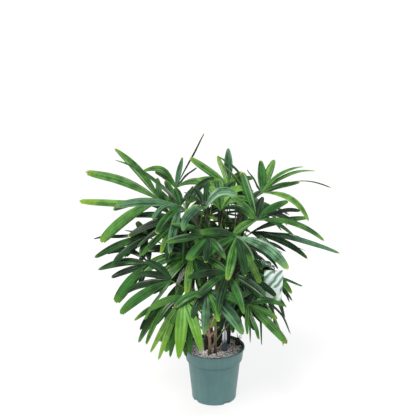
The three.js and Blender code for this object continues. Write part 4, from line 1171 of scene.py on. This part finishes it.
def sheet_piece(name, profile, columns, curl, place, thickness, material, slot):
    """A thin plate with its own UV map. Its outline is a list of half widths and heights, in millimetres."""
    widest = max(half_width for half_width, _ in profile)
    low, high = profile[0][1], profile[-1][1]
    flat = [(half_width * (2 * i / columns - 1), z) for half_width, z in profile for i in range(columns + 1)]
    wide = columns + 1
    faces = [(row * wide + i, row * wide + i + 1, (row + 1) * wide + i + 1, (row + 1) * wide + i)
             for row in range(len(profile) - 1) for i in range(columns)]
    piece = new_piece(name, [place(x, curl * (x / widest) ** 2, z) for x, z in flat], faces, [material], slot)
    layer = piece.data.uv_layers.new(name="UVMap")
    for loop in piece.data.loops:
        x, z = flat[loop.vertex_index]
        layer.data[loop.index].uv = (0.5 + x / (2 * widest), (z - low) / (high - low))
    thick = piece.modifiers.new("thickness", "SOLIDIFY")
    thick.thickness = thickness * MM
    thick.offset = 0
    return piece


# Coated card: satin, mint with slanting bands of deeper green, and an empty white panel low down.
card_face, tree, output = new_material("coated_card")
on_card = add(tree, "ShaderNodeTexCoord").outputs["UV"]
slanted = add(tree, "ShaderNodeMapping", {
    "Vector": on_card, "Rotation": (0, 0, math.radians(CARD_BAND_DEGREES)), "Scale": CARD_BAND_SHAPE})
bands = add(tree, "ShaderNodeTexWave", {"Vector": slanted, "Scale": 0.9, "Distortion": 6.0, "Detail": 2.0})
shades = add(tree, "ShaderNodeValToRGB", {"Fac": bands.outputs["Fac"]})
shade(shades, [(position, colour(code)) for position, code in CARD_GREENS])
card_size = (2 * TAG_HALF_WIDTH, 2 * TAG_HALF_HEIGHT, 0)
from_panel = add(tree, "ShaderNodeVectorMath", {0: on_card, 1: (*PANEL["middle"], 0)}, operation="SUBTRACT")
from_panel = add(tree, "ShaderNodeVectorMath", {0: from_panel, 1: card_size}, operation="MULTIPLY")
from_panel = add(tree, "ShaderNodeVectorMath", {0: from_panel}, operation="ABSOLUTE")
inner_panel = (*(side - PANEL["corner"] for side in PANEL["half_size"]), 0)
outside = add(tree, "ShaderNodeVectorMath", {0: from_panel, 1: inner_panel}, operation="SUBTRACT")
outside = add(tree, "ShaderNodeVectorMath", {0: outside, 1: (0, 0, 0)}, operation="MAXIMUM")
outside = add(tree, "ShaderNodeVectorMath", {0: outside}, operation="LENGTH").outputs["Value"]
in_panel = add(tree, "ShaderNodeMath", {0: outside, 1: PANEL["corner"]}, operation="LESS_THAN")
printed = add(tree, "ShaderNodeMix", {"Factor": in_panel, "A": shades, "B": colour(PANEL_WHITE)},
              data_type="RGBA")
card = add(tree, "ShaderNodeBsdfPrincipled", {"Base Color": printed, "Roughness": 0.38})
tree.links.new(card.outputs[0], output.inputs[0])

corner = [(TAG_HALF_WIDTH - TAG_CORNER * (1 - math.cos(a)), TAG_HALF_HEIGHT - TAG_CORNER * (1 - math.sin(a)))
          for a in np.radians(np.linspace(0, 90, TAG_CORNER_STEPS))]
sides = [(TAG_HALF_WIDTH, z) for z in np.linspace(-corner[0][1], corner[0][1], TAG_ROWS)[1:-1]]
card_outline = [(half_width, -z) for half_width, z in reversed(corner)] + sides + corner
hang_card = sheet_piece("hang_card", card_outline, TAG_COLUMNS, TAG_CURL, tag_spot, TAG_THICKNESS, card_face,
                        "tag_plastic")
punch = bmesh.new()
rod = bmesh.ops.create_cone(
    punch, cap_ends=True, segments=TAG_HOLE_SIDES, radius1=TAG_HOLE_RADIUS, radius2=TAG_HOLE_RADIUS,
    depth=TAG_PUNCH_LENGTH)
for end in rod["verts"]:
    end.co = tag_spot(end.co.x, end.co.z, TAG_HOLE_HEIGHT - end.co.y)
cut_away(hang_card, punch, "punch")
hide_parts("hang_tag")


# ---- Tag strap ----
# A flat strap of printed plastic film is folded through the punched hole, so that two limbs lie on the card's
# faces, rises to a cane and is closed in a ring round it.

STRAP_CANE = "cane_07"
STRAP_HOLD = 0.7
STRAP_RISE = 14
STRAP_WIDTH = 8.5
STRAP_TAB_WIDTH = 4
STRAP_ABOVE_CARD = 11
STRAP_THICKNESS = 0.7
STRAP_STEPS = 20
STRAP_TURN_SHARE = 0.35
STRAP_LIMB = [
    (0, TAG_HOLE_HEIGHT), (1.4, TAG_HOLE_HEIGHT + 1), (1.6, TAG_HALF_HEIGHT),
    (0.3, TAG_HALF_HEIGHT + STRAP_ABOVE_CARD)]
STRAP_RING_DEGREES = 20
STRAP_SPECK = 3.2


def flat_band(line, acrosses, width, thickness):
    """Points and faces of a flat band along a line, with closed ends. Its width lies along the acrosses."""
    points = []
    faces = []
    for i, (middle, across) in enumerate(zip(line, acrosses)):
        along = unit(line[min(i + 1, len(line) - 1)] - line[max(i - 1, 0)])
        across = unit(across - along * (across @ along))
        over = np.cross(along, across)
        points += [middle + MM / 2 * (a * width * across + b * thickness * over)
                   for a, b in ((1, 1), (-1, 1), (-1, -1), (1, -1))]
    for i in range(len(line) - 1):
        for k in range(4):
            a, b = 4 * i + k, 4 * i + (k + 1) % 4
            faces.append((a, b, b + 4, a + 4))
    last = len(points) - 4
    return points, faces + [(3, 2, 1, 0), (last, last + 1, last + 2, last + 3)]


# Printed plastic film: slate with irregular pale specks, satin.
strap_film, tree, output = new_material("printed_strap_film")
place = add(tree, "ShaderNodeTexCoord").outputs["Object"]
specks = add(tree, "ShaderNodeTexVoronoi", {"Vector": place, "Scale": 1 / (STRAP_SPECK * MM)})
shades = add(tree, "ShaderNodeValToRGB", {"Fac": specks.outputs["Distance"]})
shade(shades, [(0.3, colour("b9c9c4")), (0.5, colour("27403f"))])
film = add(tree, "ShaderNodeBsdfPrincipled", {"Base Color": shades, "Roughness": 0.4})
tree.links.new(film.outputs[0], output.inputs[0])

card_side = unit(np.array(tag_spot(1, 0, 0) - tag_spot(0, 0, 0)))
card_top = np.array(tag_spot(0, 0, TAG_HALF_HEIGHT + STRAP_ABOVE_CARD))
held_line, held_sizes = cane_line(STRAP_CANE)
held_at = STRAP_HOLD * (CANE_STEPS - 1)
held = np.array([np.interp(held_at, range(CANE_STEPS), axis) for axis in np.transpose(held_line)])
held_along = unit(held_line[int(held_at) + 1] - held_line[int(held_at)])
towards = card_top - held
towards = unit(towards - held_along * (towards @ held_along))
beyond = np.cross(held_along, towards)
loop_radius = np.interp(held_at, range(CANE_STEPS), held_sizes) + STRAP_THICKNESS * MM
meeting = held + loop_radius * towards
shares = np.linspace(0, 1, STRAP_STEPS)
route = bend(card_top, (card_top + meeting) / 2 + np.array((0, 0, STRAP_RISE * MM)), meeting, shares)
turning = [card_side + (held_along - card_side) * min(1, share / STRAP_TURN_SHARE) for share in shares]
bands = [flat_band(route, turning, STRAP_WIDTH, STRAP_THICKNESS)]
for side in (-1, 1):
    limb = [np.array(tag_spot(0, side * out, z)) for out, z in STRAP_LIMB]
    bands.append(flat_band(limb, [card_side] * len(limb), STRAP_TAB_WIDTH, STRAP_THICKNESS))
ring_angles = np.radians(range(0, 361, STRAP_RING_DEGREES))
ring = [held + loop_radius * (math.cos(a) * towards + math.sin(a) * beyond) for a in ring_angles]
bands.append(flat_band(ring, [held_along] * len(ring), STRAP_WIDTH, STRAP_THICKNESS))
strap_points = []
strap_faces = []
for points, faces in bands:
    strap_faces += [tuple(len(strap_points) + i for i in face) for face in faces]
    strap_points += points
strap = new_piece("tag_strap", strap_points, strap_faces, [strap_film], "tag_plastic")
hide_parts("hang_tag")


# ---- Plant label ----
# A moulded label with a rounded head, pushed into the gravel. Its head is printed pale, with a soft blue
# streak, and its lower half is slate.

LABEL_PLACE = (35, -27)
LABEL_TURN_DEGREES = 12
LABEL_THICKNESS = 1.1
LABEL_CURL = 1.2
label_low, label_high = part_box("plant_label")
LABEL_OUTLINE = [
    (8.2, 0), (8.4, 12), (8.4, 28), (8.0, 38), (7.5, 50), (7.2, 62), (6.7, 70), (5.6, 76), (3.9, 80),
    (2.2, 81.4), (1.2, (label_high.z - label_low.z) / MM)]
LABEL_COLUMNS = 6
LABEL_TONES = [
    (0.0, "2b3a40"), (0.3, "55686e"), (0.56, "40545c"), (0.64, "9fabc6"), (0.72, "eceff8"), (1.0, "ffffff")]
LABEL_STREAK = {
    "middle": 0.56, "full": 0.04, "faded": 0.2, "foot": 0.5, "share": 0.85, "colour": "4c5f86"}


def label_spot(x, y, z):
    """A place on the label, in millimetres from the middle of its foot, as a place on the plant."""
    turned = Matrix.Rotation(math.radians(LABEL_TURN_DEGREES), 3, "Z") @ Vector((x, y, 0))
    return Vector(((turned.x + LABEL_PLACE[0]) * MM, (turned.y + LABEL_PLACE[1]) * MM, label_low.z + z * MM))


# Polystyrene label: semi-gloss, printed white over the head, dirty slate below.
label_face, tree, output = new_material("printed_label_plastic")
on_label = add(tree, "ShaderNodeTexCoord").outputs["UV"]
parts = add(tree, "ShaderNodeSeparateXYZ", {"Vector": on_label})
smudge = add(tree, "ShaderNodeTexNoise", {"Vector": on_label, "Scale": 5.0, "Detail": 3.0})
blurred = add(tree, "ShaderNodeMath", {0: smudge.outputs["Fac"], 1: 0.3, 2: parts.outputs["Y"]},
              operation="MULTIPLY_ADD")
shades = add(tree, "ShaderNodeValToRGB", {"Fac": blurred})
shade(shades, [(position, colour(code)) for position, code in LABEL_TONES])
from_streak = add(tree, "ShaderNodeMath", {0: parts.outputs["X"], 1: LABEL_STREAK["middle"]},
                  operation="SUBTRACT")
from_streak = add(tree, "ShaderNodeMath", {0: from_streak}, operation="ABSOLUTE")
streak = add(tree, "ShaderNodeMapRange", {
    "Value": from_streak, "From Min": LABEL_STREAK["full"], "From Max": LABEL_STREAK["faded"],
    "To Min": LABEL_STREAK["share"], "To Max": 0.0})
on_head = add(tree, "ShaderNodeMath", {0: parts.outputs["Y"], 1: LABEL_STREAK["foot"]},
              operation="GREATER_THAN")
on_head = add(tree, "ShaderNodeMath", {0: streak, 1: on_head}, operation="MULTIPLY")
streaked = add(tree, "ShaderNodeMix", {"Factor": on_head, "A": shades, "B": colour(LABEL_STREAK["colour"])},
               data_type="RGBA")
moulding = add(tree, "ShaderNodeBsdfPrincipled", {"Base Color": streaked, "Roughness": 0.35})
tree.links.new(moulding.outputs[0], output.inputs[0])
label = sheet_piece("printed_label", LABEL_OUTLINE, LABEL_COLUMNS, LABEL_CURL, label_spot, LABEL_THICKNESS,
                    label_face, "label_plastic")
settle(label)
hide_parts("plant_label")


# ---- Fallen strip ----
# A dry pale strip of leaf sheath has dropped on the gravel. Its foot lies between the stones, and it leans up
# against the label.

STRIP_ENDS = [(1, -18, 187), (16, -30, 190), (33, -34, 222)]
STRIP_WIDTH = 4.6
STRIP_THICKNESS = 0.7
STRIP_STEPS = 14
STRIP_ACROSS = np.array((0.3, -0.5, 0.8))
start, knee, end = (np.array(point) * MM for point in STRIP_ENDS)
strip_line = bend(start, knee, end, np.linspace(0, 1, STRIP_STEPS))
strip_band = flat_band(strip_line, [STRIP_ACROSS] * STRIP_STEPS, STRIP_WIDTH, STRIP_THICKNESS)
pale_sheath = cane_material("dry_pale_sheath", dark="e0cdb8", pale="f3e6d6", foot="ead9c6", roughness=0.8)
new_piece("fallen_sheath_strip", *strip_band, [pale_sheath], "cane")
